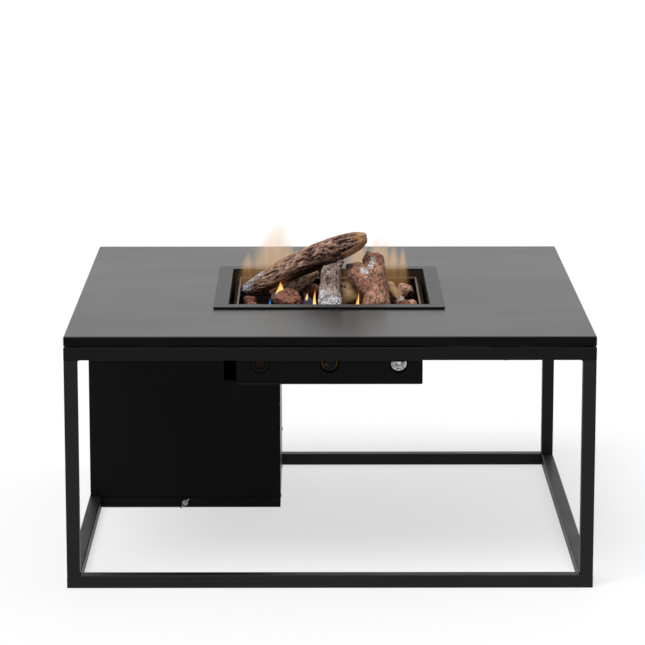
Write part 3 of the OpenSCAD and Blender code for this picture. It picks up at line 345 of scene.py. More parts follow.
# %% Finish of the burner
def burner_steel(name, shine, brown, gloss=(0.36, 0.46), low=0.43, high=0.4905):
    """Coated steel whose tint runs with height from soot at low, over brown, to satin black at high.
    shine is the specular level: soot takes it away. gloss is the roughness from smooth to rough."""
    material, tree, output = new_finish(name)
    coords = add(tree, "TexCoord").outputs["Object"]
    height = add(tree, "SeparateXYZ", Vector=coords).outputs[2]
    clouds = grain(tree, coords, 28, 4.0)
    brushed = grain(tree, add(tree, "Mapping", Vector=coords, Scale=(1, 1, 0.08)).outputs[0], 520)
    level = add(tree, "MapRange", Value=height, From_Min=low, From_Max=high).outputs[0]
    shake = sums(tree, "MULTIPLY", sums(tree, "SUBTRACT", clouds, 0.4),
                 step(tree, level, 1, 0.9, 0, 0.4))
    tint = ramp(tree, sums(tree, "ADD", level, shake),
                ((0.0, "0b0a09"), (0.4, "15110d"), (0.7, brown), (0.93, brown), (1.0, "161413")))
    relief = add(tree, "Bump", Height=brushed, Strength=1.0, Distance=0.00001)
    shader = add(tree, "BsdfPrincipled", Base_Color=tint, Specular_IOR_Level=shine,
                 Roughness=step(tree, brushed, 0.2, 0.8, *gloss), Normal=relief.outputs[0])
    tree.links.new(shader.outputs[0], output.inputs["Surface"])
    return material


finishes["burner_steel"] = burner_steel("burner_steel", 0.21, "37291e")
sooty_steel = burner_steel("sooty_steel", 0.02, "1d1712")
print("burner steel, and sooty steel for what lies in the fire")

# %% Painted highlight on the tray's lip
def paint_over(material, share, code):
    """Mixes a tone over the colour of a finish by share, and gives the finish's shader."""
    tree = material.node_tree
    shader = next(node for node in tree.nodes if node.type == "BSDF_PRINCIPLED")
    tint = shader.inputs["Base Color"].links[0].from_socket
    tree.links.new(blend(tree, share, tint, tone(code)), shader.inputs["Base Color"])
    return shader


def paint_lip_highlight(material, reach=0.1838, under=0.4735):
    """Paints a highlight on the inner edge of the tray's lip: where the larger of |X| and |Y| is below
    reach, and the height is over under, the colour goes to a pale steel tone and the roughness falls."""
    tree = material.node_tree
    x, y, z = add(tree, "SeparateXYZ", Vector=add(tree, "TexCoord").outputs["Object"]).outputs
    away = sums(tree, "MAXIMUM", sums(tree, "ABSOLUTE", x, 0), sums(tree, "ABSOLUTE", y, 0))
    highlighted = sums(tree, "MULTIPLY", step(tree, away, reach + 0.0008, reach),
                step(tree, z, under, under + 0.0006))
    # the pale tone is a painted highlight along the lip's inner edge
    shader = paint_over(material, highlighted, "6d5d4d")
    tree.links.new(step(tree, highlighted, 0, 1, 0.85, 0.4), shader.inputs["Roughness"])


paint_lip_highlight(sooty_steel)
print("tray's lip worn")

# %% [markdown]
# ## Folds of the control box
#
# The control box is folded sheet, and its folds are painted pale: a painted highlight where the bends
# catch the light. A Bevel node could find the edges, but only one of Blender's render engines knows it.
# The folds lie on the sides and the bottom of the node's box, so the distance to those planes finds them
# from Object coordinates alone.

# %% Painted highlights on the folds
def paint_fold_highlights(node, width=0.0024):
    """The coat of a folded box, with a painted highlight where the distance to the nearest side or to the
    bottom of the node's box is below width."""
    material = plain_finish(node + "_coat", *PLAIN["box_black"])
    tree = material.node_tree
    low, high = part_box(node)
    x, _, z = add(tree, "SeparateXYZ", Vector=add(tree, "TexCoord").outputs["Object"]).outputs
    planes = ((x, low[0], 1), (x, high[0], -1), (z, low[2], 1))
    left, right, under = (add(tree, "MapRange", Value=axis, From_Min=edge,
                              From_Max=edge + inwards).outputs[0] for axis, edge, inwards in planes)
    near = sums(tree, "MINIMUM", sums(tree, "MINIMUM", left, right), under)
    # the pale tone along the folds is a painted highlight
    paint_over(material, step(tree, near, width, 0.3 * width, 0, 0.8), "4c4a48")
    return material


box_coat = paint_fold_highlights("control_box")
print("control box coated")

# %% [markdown]
# ## Finishes on the CAD nodes
#
# The record names a material slot for each node, so most nodes simply get the finish of that name. Some
# share a slot but not a look: legs and lower rails are painted lighter, a painted light for the light
# that the white floor throws up on them, the walls of the bottle box are glossier, the knob's brass trim
# is painted darker as painted shade, and what lies in the fire is sooty. Those get a finish of their own
# afterwards.

# %% Give each CAD node its finish
for part in frame["record"]["subparts"]:
    if part["material_slot"] in finishes:
        mesh = cad_nodes[part["node"]].data
        mesh.materials.clear()
        mesh.materials.append(finishes[part["material_slot"]])
own_finish = {"inner_tray": sooty_steel, "burner_plate": sooty_steel, "control_box": box_coat,
              "knob_trim": finishes["dark_brass"], "control_nuts": finishes["box_black"],
              "control_bracket": finishes["black_steel"]}
for node in cad_nodes:
    # legs and lower rails are painted lighter: painted light from the floor
    if node.startswith(("leg", "bottom")):
        own_finish[node] = finishes["dusty_black"]
for side in ("left", "back", "right"):
    own_finish[f"gas_{side}_panel"] = finishes["panel_black"]
for node, finish in own_finish.items():
    cad_nodes[node].data.materials[0] = finish

# %% [markdown]
# ## Skins
#
# A log, a stone and a flame are all closed skins: rows of points round an axis, with one point at each
# end. A skin could be made by sculpting a subdivided cylinder, but as a grid of points it is one array,
# and every ridge is a formula. The helper below turns such an array into a mesh, with whole-array
# index arithmetic for the faces.

# %% From a grid of points to a mesh
def with_middles(grid):
    """The points of a grid in one list, with the middle of its first and of its last row at the end."""
    return np.concatenate([grid.reshape(-1, grid.shape[-1]), [grid[0].mean(0), grid[-1].mean(0)]])


def skin(name, rings, marks):
    """rings holds rows x sides points. The sides turn left-handed round the way that the rows run, so
    that the faces look outwards. Each end is closed by a fan to the middle of its ring. marks are four
    numbers for each point, kept as the colour attribute "marks"."""
    rows, sides = rings.shape[:2]
    index = np.arange(rows * sides).reshape(rows, sides)
    after = np.roll(index, -1, axis=1)
    quads = np.stack([index[:-1], index[1:], after[1:], after[:-1]], -1).reshape(-1, 4)
    first = np.stack([np.full(sides, rows * sides), index[0], after[0]], -1)
    last = np.stack([np.full(sides, rows * sides + 1), after[-1], index[-1]], -1)
    mesh = bpy.data.meshes.new(name)
    mesh.from_pydata(with_middles(rings).tolist(), [],
                     quads.tolist() + first.tolist() + last.tolist())
    mesh.polygons.foreach_set("use_smooth", np.ones(len(mesh.polygons), bool))
    attribute = mesh.attributes.new("marks", "FLOAT_COLOR", "POINT")
    attribute.data.foreach_set("color", with_middles(marks).astype(np.float32).ravel())
    piece = bpy.data.objects.new(name, mesh)
    bpy.context.scene.collection.objects.link(piece)
    return piece


print("skins ready")

# %% Noise on a skin
def soft_noise(u, v, along, around, seed):
    """Smooth numbers from -1 to 1: a table of random numbers, along x around, read with eased steps
    between its entries. It closes on itself in v."""
    table = np.random.default_rng(seed).uniform(-1, 1, (along + 2, around))
    x, y = np.clip(u, 0, 1) * along, (v % 1.0) * around
    i, j = np.floor(x).astype(int), np.floor(y).astype(int)
    fx, fy = x - i, y - j
    fx, fy = fx * fx * (3 - 2 * fx), fy * fy * (3 - 2 * fy)
    near, far = j % around, (j + 1) % around
    low = table[i, near] * (1 - fx) + table[i + 1, near] * fx
    high = table[i, far] * (1 - fx) + table[i + 1, far] * fx
    return low * (1 - fy) + high * fy


def rough_noise(u, v, along, around, seed, layers=4):
    """Sum of soft noises, each twice as fine and half as strong as the one before, scaled back to
    about -1 to 1."""
    parts = [soft_noise(u, v, along * 2 ** k, around * 2 ** k, seed + k) / 2 ** k for k in range(layers)]
    return sum(parts) / 1.6


def rise(x, low, high):
    """0 below low, 1 above high and an S-curve between."""
    x = np.clip((x - low) / (high - low), 0, 1)
    return x * x * (3 - 2 * x)


print("noise ready")

# %% [markdown]
# ## Bark
#
# Ceramic logs are cast from real branches and painted. Bark splits along the branch, into long plates
# with dark furrows between them. Sculpting it by hand would take days, and a bump map would leave the
# outline smooth. A pattern of round cells looks like a tortoise. Here the bark is a noise that is
# stretched along the log, like a long mountain range: what lies below a certain level is furrow, and
# the rest is plate. A finer noise adds thin cracks where it changes sign.

# %% Plates and furrows
def bark_relief(u, v, cells, seed, depth, open_share):
    """Height of the bark over the log's form in millimetres, mostly below 0, and two marks for the
    paint: how deep in a furrow a spot is, and the tone of its plate. cells are the plates along and
    round the log, open_share is about the share of the log that is furrow."""
    along, around = cells
    swerve = v + 0.9 / around * rough_noise(u, v, max(2, along // 2), max(3, around // 4), seed + 10)
    ridges = (0.75 * soft_noise(u, swerve, along, around, seed)
              + 0.75 * soft_noise(u, swerve, 2 * along, 2 * around, seed + 1)
              + 0.65 * soft_noise(u, swerve, 4 * along, 4 * around, seed + 2)
              + 0.45 * soft_noise(u, swerve, 8 * along, 5 * around, seed + 3))
    lumps = rough_noise(u, v, max(2, along // 3), max(3, around // 4), seed + 40)
    mixed = ridges + 0.3 * lumps
    level = np.quantile(mixed, open_share)
    furrow = 1 - rise(mixed, level - 0.7, level + 0.35)
    cracks = 1 - rise(np.abs(rough_noise(u, swerve, 2 * along, 3 * around, seed + 30)), 0.02, 0.12)
    cracks = cracks * rise(soft_noise(u, v, along, around, seed + 31), -0.3, 0.4)
    plate = np.clip(0.5 + 0.25 * lumps + 0.3 * ridges, 0, 1)
    height = -depth * (0.6 * furrow + 0.3 * cracks + 0.4 * (1 - plate)) + 0.1 * depth * lumps
    return np.minimum(height, 0.2), np.clip(furrow + 0.8 * cracks, 0, 1), plate


print("bark ready")

# %% [markdown]
# ## Logs
#
# A log is a bowed line from a start to an end, with a radius at the start, the middle and the end, and a
# few broad lumps. Most logs take these from their CAD forms. The ash log and both arms of the forked log
# end up to 12 mm from their solids' ends, the arms 3 mm thicker there, and the twig on the ash log has no
# solid. The bark is cut into the form and hardly stands proud of it. Real branches break, so the far ends
# can be slanted and jagged, and flat breaks are cut along the sides.

# %% Forms of the logs
BED = 0.438     # top of the burner plate

# start and end (X, Y, height over the bed), bow and radii in millimetres, seed, lumps in millimetres
LOG_FORMS = {
    "long": ((-183, 130, 11.5), (80, -20, 159.2), (0, 0, 7), (14, 27, 16.5), 20, 1.2),
    "ash": ((0, -94, 11.1), (3, 22, 99), (2, 0, 0), (24, 23, 21), 75, 1.2),
    "twig": ((13, 0, 86), (29, 4, 107), (0, 0, 1), (8, 7, 5.5), 90, 0.5),
    "forked": ((95, -92, 15.3), (89, 45, 114.8), (3, 0, 3), (30, 25, 20), 130, 1.6),
    "stub": ((91, -52, 48), (31, 22, 96), (0, 0, 8), (25, 23, 18), 210, 0.8),
    "grey": ((-114, 67, 7.6), (-18, 112, 68.8), (0, 0, 2), (14, 15, 13), 260, 0.9),
    "small": ((118.2, -4, 62), (155.2, -24, 1.9), (2, 0, 2), (10, 11, 10), 305, 0.7),
    "tan": ((-15, 9.5, 30.9), (116, 20, 30.6), (0, 2, 0), (27, 30, 27), 340, 1.0),
}

# how blunt the ends are, how much shorter the far end is on one side as a share of the length, the
# turn of its longest side in degrees, how jagged it is, and how much of its two breaks it has
ROUND_END = (10, 0.0, 0, 0.0, 1.0)
LOG_ENDS = {
    "long": (13, 0.015, 20, 0.012, 0.4),
    "ash": (24, 0.13, 0, 0.03, 1.0),
    "forked": (26, 0.03, 0, 0.03, 1.0),
    "stub": (40, 0.36, 330, 0.04, 1.0),
    "grey": (18, 0.05, 90, 0.04, 1.0),
}
print("log forms:", ", ".join(LOG_FORMS))

# %% Radius and flat breaks of a log
def log_radius(t, a, radii, seed, lump, blunt):
    """Quadratic through the three radii, plus lumps, times a factor that rounds the two ends: the
    larger blunt is, the shorter the rounding."""
    middle = (radii[0] * (1 - t) * (1 - 2 * t) + 4 * radii[1] * t * (1 - t)
              + radii[2] * t * (2 * t - 1))
    s = math.radians(seed)
    lumps = (np.sin(2 * a + math.radians(300) * t + s)
             + 0.7 * np.sin(3 * a - math.radians(520) * t + 2 * s)
             + 0.5 * np.sin(5 * a + math.radians(900) * t + 3 * s))
    ends = np.sqrt(np.maximum(0, 1 - np.abs(2 * t - 1) ** blunt)) * 0.72 + 0.28
    return ends * (middle + lump * lumps)


def flats(t, a, seed, broken, count=22, deep=0.13, fade=0.13):
    """Share of the radius that is left by flat breaks. Each break is a plane square to a random way
    out of the log, which fades out over fade, a share of the length. The first three are placed: one at
    the near end, and at the far end one on top and one below, of which broken is the share taken."""
    rng = np.random.default_rng(seed + 500)
    place, turn = rng.uniform(0, 1, count), rng.uniform(0, 2 * np.pi, count)
    left = 1 - deep * rng.uniform(0.4, 1, count)
    reach = np.full(count, fade)
    place[:3], left[:3] = (0.0, 1.0, 1.0), (0.8, 0.42, 0.6)
    left[1:3] = 1 - broken * (1 - left[1:3])
    turn[1:3], reach[1:3] = np.radians((70, -75)), (0.07, 0.09)
    cuts = left / np.maximum(np.cos(a[..., None] - turn), 0.3)
    cuts = cuts + 0.3 * ((t[..., None] - place) / reach) ** 2
    return np.minimum(1, cuts.min(-1))


print("radius ready")

# %% [markdown]
# ## Marks on a log
#
# The paint has to know where a log is furrow, bare wood or ash. That could be painted on an image, but
# it would slip when the log changes. Here four marks go with every point: furrow, plate tone, bare wood
# and ash. The first two come from the bark, the others lie in soft spots. An ash spot along the long
# log's top edge is a painted highlight, and char on the stub's far end is a painted shadow.

# %% Marks on a log
def spot(t, a, place, turn, length, width):
    """Soft patch on a log: 1 at place (share of the length) and turn (degrees, 0 to the right of the
    way the log runs and 90 up), fading out as a bell curve both ways."""
    swing = (np.degrees(a) - turn + 180) % 360 - 180
    return np.exp(-((t - place) / length) ** 2 - (swing / width) ** 2)


def log_marks(t, a, seed, cells, depth, open_share, bare, ash, char):
    """Height of the bark and the four marks at each point. The sums of the spots are broken up by
    noise; bare wood is smooth, and char fills the plates like a furrow. Ash also carries a painted
    highlight and char a painted shadow where their spots are placed for them."""
    v = a / (2 * np.pi)
    height, furrow, plate = bark_relief(t, v, cells, seed, depth, open_share)
    patchy = 0.55 + 0.5 * rough_noise(t, v, cells[0], cells[1] // 2, seed + 60)
    flakes = 0.55 + 0.6 * rough_noise(t, v, cells[0] * 2, cells[1], seed + 70)
    none = np.zeros_like(t)
    bare_wood = np.clip(sum((spot(t, a, *s) for s in bare), none) * (0.45 + patchy), 0, 1)
    ash_and_highlight = rise(sum((spot(t, a, *s) for s in ash), none) * (0.4 + flakes), 0.3, 0.75)
    char_and_shadow = np.clip(sum((spot(t, a, *s) for s in char), none), 0, 1)
    smooth = rise(bare_wood, 0.3, 0.85)
    height = height * (1 - 0.75 * smooth)
    furrow = np.maximum(furrow * (1 - 0.65 * smooth), 0.85 * char_and_shadow)
    plate = plate * (1 - 0.75 * char_and_shadow)
    return height, np.stack([furrow, plate, bare_wood, ash_and_highlight], -1)


print("marks ready")

# %% [markdown]
# ## Skin of a log
#
# The form, the breaks, the bark and the marks now meet on one grid, with rows along the log and sides
# round it. The far end is cut by moving points along the log rather than by a boolean, so the grid stays
# whole and the bark runs up to the break.

# %% Skin of a log
def log_points(kind, t, a, height):
    """Points in millimetres: the bowed line, plus the radius and the bark square to it. Towards the far
    end each line of points is cut short by its slant and its jag."""
    start, end, bow, radii, seed, lump = LOG_FORMS[kind]
    blunt, slant, longest, jag, broken = LOG_ENDS.get(kind, ROUND_END)
    start, run, bow = np.array(start), np.subtract(end, start), np.array(bow)
    forward = run / np.linalg.norm(run)
    side = np.cross(forward, (0, 0, 1))
    side /= np.linalg.norm(side)
    up = np.cross(side, forward)
    r = log_radius(t, a, radii, seed, lump, blunt) * flats(t, a, seed, broken)
    r = r + height * rise(np.minimum(t, 1 - t), 0, 0.03)
    out = side * np.cos(a)[..., None] + up * np.sin(a)[..., None]
    short = slant / 2 * (1 - np.cos(a - math.radians(longest)))
    short = short + jag * (0.5 + 0.5 * soft_noise(0 * t, a / (2 * np.pi), 1, 11, seed + 80))
    place = t * (1 - short * rise(t, 0.4, 1))
    centre = start + run * place[..., None] + bow * np.sin(np.pi * place)[..., None]
    return centre + r[..., None] * out + (0, 0, BED * 1000)


def log_skin(kind, rows, sides, *bark):
    """Rings of points of one log, in metres, and their marks. Rings inside the end rings close the
    cut faces."""
    t, a = np.meshgrid(np.linspace(0, 1, rows), np.arange(sides) * 2 * np.pi / sides, indexing="ij")
    seed = LOG_FORMS[kind][4]
    height, marks = log_marks(t, a, seed, *bark)
    points = log_points(kind, t, a, height)
    shrink = np.array([0.25, 0.5, 0.75])[:, None, None]
    first, last = (ring.mean(0) + shrink * (ring - ring.mean(0)) for ring in (points[0], points[-1]))
    points = np.concatenate([first, points, last[::-1]]) / 1000
    return points, np.concatenate([marks[:1].repeat(3, 0), marks, marks[-1:].repeat(3, 0)])


print("log skin ready")

# %% [markdown]
# ## Paint of the logs
#
# The ceramic is painted like bark: two tones from plate to plate, black in the furrows, tan where the
# wood is bare, and white ash with black flecks dusted over. The shader reads the four marks of each
# point and adds what is finer than the mesh: speckle, a sandy grain and its relief.

# %% Paint of the logs
def bark_paint(name, tones, bare, ash, furrow, speckle):
    """Plate tone picks among three tones, from dark to light; then bare wood, speckle, furrow and ash
    go over."""
    material, tree, output = new_finish(name)
    marks = add(tree, "Attribute", {"attribute_name": "marks"})
    parts = add(tree, "SeparateColor", Color=marks.outputs["Color"])
    coords = add(tree, "TexCoord").outputs["Object"]
    sand = grain(tree, coords, 900, 3.0)
    flecks = grain(tree, coords, 300, 4.0, 0.7)
    clouds = grain(tree, coords, 90, 4.0, 0.65)
    mixed = sums(tree, "ADD", sums(tree, "MULTIPLY", parts.outputs[1], 0.55),
                 sums(tree, "MULTIPLY", clouds, 0.45))
    colour = ramp(tree, mixed, tuple(zip((0.3, 0.5, 0.68), tones)))
    wood = blend(tree, step(tree, clouds, 0.3, 0.7), tone(bare), tone(tones[1]))
    colour = blend(tree, step(tree, parts.outputs[2], 0.2, 0.8), colour, wood)
    black = sums(tree, "MULTIPLY", step(tree, flecks, 0.53, 0.63), speckle)
    colour = blend(tree, black, colour, tone(furrow))
    colour = blend(tree, step(tree, parts.outputs[0], 0.1, 0.95, 0, 0.96), colour, tone(furrow))
    dust = sums(tree, "MULTIPLY", marks.outputs["Alpha"], step(tree, flecks, 0.44, 0.52))
    soot = sums(tree, "MULTIPLY", marks.outputs["Alpha"], step(tree, flecks, 0.47, 0.42, 0, 0.85))
    colour = blend(tree, soot, colour, tone(furrow))
    colour = blend(tree, dust, colour, tone(ash))
    colour = blend(tree, 0.4, colour, sand, "OVERLAY")
    relief = add(tree, "Bump", Height=sums(tree, "ADD", sums(tree, "MULTIPLY", sand, 0.4),
                                           sums(tree, "MULTIPLY", flecks, 0.6)),
                 Strength=1.0, Distance=0.001)
    shader = add(tree, "BsdfPrincipled", Base_Color=colour, Normal=relief.outputs[0],
                 Roughness=step(tree, sand, 0.2, 0.8, 0.7, 0.95), Specular_IOR_Level=0.25)
    tree.links.new(shader.outputs[0], output.inputs["Surface"])
    return material


PAINTS = {
    "bark_ceramic": (("4c3a32", "98725f", "d8b39f"), "d3a172", "cfd3da", "1f1b1b", 0.5),
    "ash_ceramic": (("6a554e", "98807a", "ccbab0"), "b79a80", "e2e6ea", "3a3534", 0.5),
    "red_ceramic": (("664a40", "a27059", "cd9c82"), "c2977a", "e8eaee", "574b46", 0.8),
    # the grey log's tones are raised to make up for the shade of the long log over it: painted light
    "grey_ceramic": (("85786f", "c2a48d", "e6d3c2"), "f6c898", "d9dce4", "3a3432", 0.4),
    "tan_ceramic": (("7d6148", "b8946c", "d8b995"), "c9a478", "e9e6e0", "2a1f16", 0.2),
}
for slot, paint in PAINTS.items():
    finishes[slot] = bark_paint(slot, *paint)
print("bark paints")

# %% [markdown]
# ## The log pile
#
# Each log differs in its bark and in what light and fire did to it. One row of numbers for each skin,
# read by the same functions, keeps the pile in one place. Two rows can stand for one node: the forked
# log's two arms are separate skins that sink into each other, and so are the ash log and its twig.

# %% Make the logs
# kind: CAD node, slot, rows, sides, plates along and round, furrow depth and share, then spots of bare
# wood, ash and char, each as share of the length, turn, and how far it reaches along and round
LOG_SKINS = {
    # the narrow ash spot at turn 86 along the long log's top edge is a painted highlight
    "long": ("log_long", "bark_ceramic", 400, 230, (15, 27), 3.8, 0.3,
             [(0.37, 75, 0.07, 32), (0.22, 80, 0.12, 40), (0.1, 95, 0.1, 60), (1.0, 20, 0.08, 90),
              (0.88, -62, 0.1, 24)],
             [(0.0, 40, 0.08, 180), (0.14, 86, 0.13, 15), (0.1, 30, 0.07, 45), (0.2, 55, 0.05, 25)],
             [(0.55, -60, 0.22, 42)]),
    "ash": ("log_ash", "ash_ceramic", 250, 220, (18, 32), 2.0, 0.16, [],
            [(0.06, 60, 0.24, 90), (0.3, 150, 0.12, 30), (0.22, 20, 0.15, 20)], []),
    "twig": ("log_ash", "ash_ceramic", 60, 60, (4, 9), 0.8, 0.2, [(0.95, 90, 0.25, 120)], [], []),
    "forked": ("log_forked", "red_ceramic", 270, 230, (18, 34), 1.5, 0.28,
               [(0.97, 20, 0.08, 60), (0.7, 170, 0.2, 30)],
               [(0.66, 116, 0.1, 26), (0.77, 106, 0.06, 18), (0.7, 30, 0.04, 12)],
               [(0.98, 100, 0.04, 60)]),
    # the char at the stub's far end is a painted shadow of the long log
    "stub": ("log_forked", "red_ceramic", 140, 170, (10, 26), 1.4, 0.28, [],
             [(0.36, 100, 0.1, 26)], [(1.0, 60, 0.02, 180), (1.0, 240, 0.02, 180)]),
    "grey": ("log_grey", "grey_ceramic", 170, 130, (6, 16), 2.2, 0.22, [(0.85, 50, 0.22, 70)],
             [(0.4, 60, 0.1, 40)], [(0.15, 0, 0.2, 180)]),
    "small": ("log_small", "tan_ceramic", 120, 100, (6, 10), 0.9, 0.1, [(0.2, 60, 0.4, 120)],
              [(0.68, 60, 0.16, 70)], []),
    "tan": ("log_tan", "tan_ceramic", 170, 170, (6, 13), 1.8, 0.15, [(0.6, 0, 0.5, 120)], [],
            [(0.55, -60, 0.3, 60)]),
}
for kind, (node, slot, *shape) in LOG_SKINS.items():
    piece = skin(kind + "_log_bark", *log_skin(kind, *shape))
    piece.data.materials.append(finishes[slot])
    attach(piece, "root")
    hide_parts(node)
    print(piece.name, len(piece.data.polygons), "faces")

# %% [markdown]
# ## Lava rocks
#
# Lava rock is broken stone full of gas bubbles. A lump is the part of a ball that is left inside a
# handful of random planes, which gives it blunt corners. The bubbles that the break has opened are
# round pits. Both are formulas on one grid of directions, so a stone is a few lines of arrays.

# %% Sizes of the lava rocks
# X, Y and the three half sizes of each, in millimetres, as in CAD
ROCKS = np.array([
    (-161, 47, 14, 14, 12.5), (-82, -5, 29, 24, 24), (160, 131, 18, 17, 18),
    (148, 46, 13, 12, 11), (170, 20, 12, 13, 11), (-32, 106, 20, 18, 20.9),
    (-150, -60, 20, 18, 16), (-120, -135, 22, 20, 17), (-52, -142, 20, 19, 16),
    (80, -158, 19, 15, 15), (145, -120, 23, 20, 17), (-52, -72, 18, 17, 14),
    (52, -100, 15, 16, 13), (150, -62, 17, 15, 18.5), (58, 122, 22, 20, 17),
    (112, 96, 17, 16, 14), (-104, 158, 20, 17, 15), (4, 160, 20, 17, 15),
])
ROCK_GAP = 0.3              # millimetres between a stone and the bed
ROCK_SEED = 900
# these stones are painted lighter than the rest: painted light, for more light falling on them
LIGHTENED_ROCKS = (2, 3, 4)      # paler than the rest
print(len(ROCKS), "lava rocks, largest half size", ROCKS[:, 2:].max(), "mm")

# %% Shape of a lava rock
def random_ways(rng, count):
    """Unit vectors, spread evenly over all directions: normal draws over their own length."""
    ways = rng.normal(size=(count, 3))
    return ways / np.linalg.norm(ways, axis=1, keepdims=True)


def rock_skin(row, number, rows=60, sides=84, faces=11, waves=7, pits=170):
    """A stone: a ball is cut by planes that lie 0.58 to 0.95 of its radius out, shrunk by broad waves
    and by round pits 0.04 to 0.16 radians wide, then stretched until it fills the box of its half
    sizes. Its marks are pit, tone and paleness: the pit mark carries a painted shade, the paleness a
    painted light."""
    rng = np.random.default_rng(ROCK_SEED + number)
    lift = np.linspace(-np.pi / 2, np.pi / 2, rows + 2)[1:-1]
    lift, a = np.meshgrid(lift, -np.arange(sides) * 2 * np.pi / sides, indexing="ij")
    ways = np.stack([np.cos(lift) * np.cos(a), np.cos(lift) * np.sin(a), np.sin(lift)], -1)
    planes = random_ways(rng, faces)
    cuts = rng.uniform(0.58, 0.95, faces) / np.maximum(ways @ planes.T, 0.05)
    radius = np.minimum(1.0, cuts.min(-1))
    swell = ways @ random_ways(rng, waves).T
    radius = radius * (1 - 0.07 * np.abs(np.sin(6 * swell + 2)).mean(-1))
    middles, wide = random_ways(rng, pits), rng.uniform(0.04, 0.16, pits)
    away = np.arccos(np.clip(ways @ middles.T, -1, 1)) / wide
    dents = np.exp(-away ** 4)
    radius = radius - 0.6 * (dents * wide).max(-1)
    shade = dents.max(-1)
    size, place = row[2:], np.array([row[0], row[1], BED * 1000 + row[4] + ROCK_GAP])
    lump = ways * radius[..., None]
    lump = 2 * (lump - lump.min((0, 1))) / np.ptp(lump, axis=(0, 1)) - 1
    points = (lump * size + place) / 1000
    tint = np.full(shade.shape, rng.uniform(0, 1))
    # the lightened stones get paleness 1: painted light
    pale = np.full(shade.shape, float(number in LIGHTENED_ROCKS))
    return points, np.stack([shade, tint, pale, 0 * tint], -1)


rock_grids = [rock_skin(row, number) for number, row in enumerate(ROCKS)]
print(len(rock_grids), "stones of", rock_grids[0][0].shape[:2], "points")

# %% [markdown]
# ## Paint of the lava rocks
#
# Broken lava runs from rust to brown. Its pits and pores are painted dark, a painted shade in the
# hollows. It could be one flat brown, but then the stones would melt into each other. The marks of each
# point give the pits, the stone's own tone and whether it is painted lighter, which is painted light.
# Pores too small for the mesh come from a Voronoi pattern.

# %% Paint of the lava rocks
def lava_paint():
    """Rust to brown from stone to stone, painted dark in the pits as painted shade, with a pinkish dust
    on the high spots and a painted light on the lightened stones.
    """
    material, tree, output = new_finish("lava_stone")
    marks = add(tree, "Attribute", {"attribute_name": "marks"})
    parts = add(tree, "SeparateColor", Color=marks.outputs["Color"])
    coords = add(tree, "TexCoord").outputs["Object"]
    pores = add(tree, "TexVoronoi", Vector=coords, Scale=420.0).outputs["Distance"]
    clouds = grain(tree, coords, 120, 4.0)
    sand = grain(tree, coords, 900, 2.0)
    colour = blend(tree, sums(tree, "ADD", sums(tree, "MULTIPLY", parts.outputs[1], 0.5),
                              sums(tree, "MULTIPLY", clouds, 0.5)), tone("74432f"), tone("a97563"))
    colour = blend(tree, step(tree, sand, 0.55, 0.75, 0, 0.5), colour, tone("c39a8a"))
    # a pale pink over the lightened stones: painted light
    colour = blend(tree, sums(tree, "MULTIPLY", parts.outputs[2], 0.85), colour, tone("eab79f"))
    # dark pores and dark pits: painted shade in the hollows
    colour = blend(tree, step(tree, pores, 0.3, 0.05, 0, 0.75), colour, tone("2c1712"))
    colour = blend(tree, step(tree, parts.outputs[0], 0.3, 0.95, 0, 0.7), colour, tone("35201a"))
    relief = add(tree, "Bump", Height=sums(tree, "ADD", sums(tree, "MULTIPLY", pores, 0.8),
                                           sums(tree, "MULTIPLY", sand, 0.2)),
                 Strength=1.0, Distance=0.0012)
    shader = add(tree, "BsdfPrincipled", Base_Color=colour, Normal=relief.outputs[0],
                 Roughness=step(tree, sand, 0.2, 0.8, 0.8, 0.97), Specular_IOR_Level=0.2)
    tree.links.new(shader.outputs[0], output.inputs["Surface"])
    return material


finishes["lava_stone"] = lava_paint()
print("lava paint")

# %% Make the lava rocks
stones = [skin(f"stone_{k}", *grid) for k, grid in enumerate(rock_grids)]
with bpy.context.temp_override(active_object=stones[0], selected_editable_objects=stones,
                               object=stones[0]):
    bpy.ops.object.join()
rocks = stones[0]
rocks.name = rocks.data.name = "lava_rock_bed"
rocks.data.materials.append(finishes["lava_stone"])
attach(rocks, "root")
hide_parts("lava_rocks")
print(rocks.name, len(rocks.data.polygons), "faces")

# %% [markdown]
# ## Flames
#
# Flames are burning gas and no part of the table, so they belong to the stage, as the paper does. Each
# is a teardrop skin with a swaying axis. Its shader mixes a glow with nothing at all: most glow where
# the skin faces the viewer, none at the rim and the tip, so that no edge shows.

# %% Skin of a flame
def flame_skin(place, height, width, lean, seed, rows=30, sides=24):
    """A teardrop: the radius is the sine of half a turn times a power of the height, which puts the
    belly low, and the axis leans and sways. marks hold the height."""
    h, a = np.meshgrid(np.linspace(0.01, 0.995, rows), np.arange(sides) * 2 * np.pi / sides,
                       indexing="ij")
    r = width / 2 * np.sin(np.pi * h ** 0.6) ** 1.2 * (1 - 0.35 * h)
    sway = width * 0.3 * h * np.sin(5 * h + seed)
    centre = np.stack([lean * h ** 1.4 + sway, 0.4 * sway, height * h], -1)
    out = np.stack([np.cos(a), 0.6 * np.sin(a), 0 * a], -1)
    points = np.array(place) + centre + r[..., None] * out
    return points[:, ::-1], np.stack([h, 0 * h, 0 * h, 0 * h], -1)


print("flame skin ready")

# %% Glow of a flame
def thin_glow(tree, output, share, colour, strength):
    """Mixes a glow with a clear shader: share 0 is clear, share 1 all glow."""
    mixed = add(tree, "MixShader", Fac=share)
    tree.links.new(add(tree, "BsdfTransparent").outputs[0], mixed.inputs[1])
    tree.links.new(add(tree, "Emission", Color=colour, Strength=strength).outputs[0], mixed.inputs[2])
    tree.links.new(mixed.outputs[0], output.inputs["Surface"])


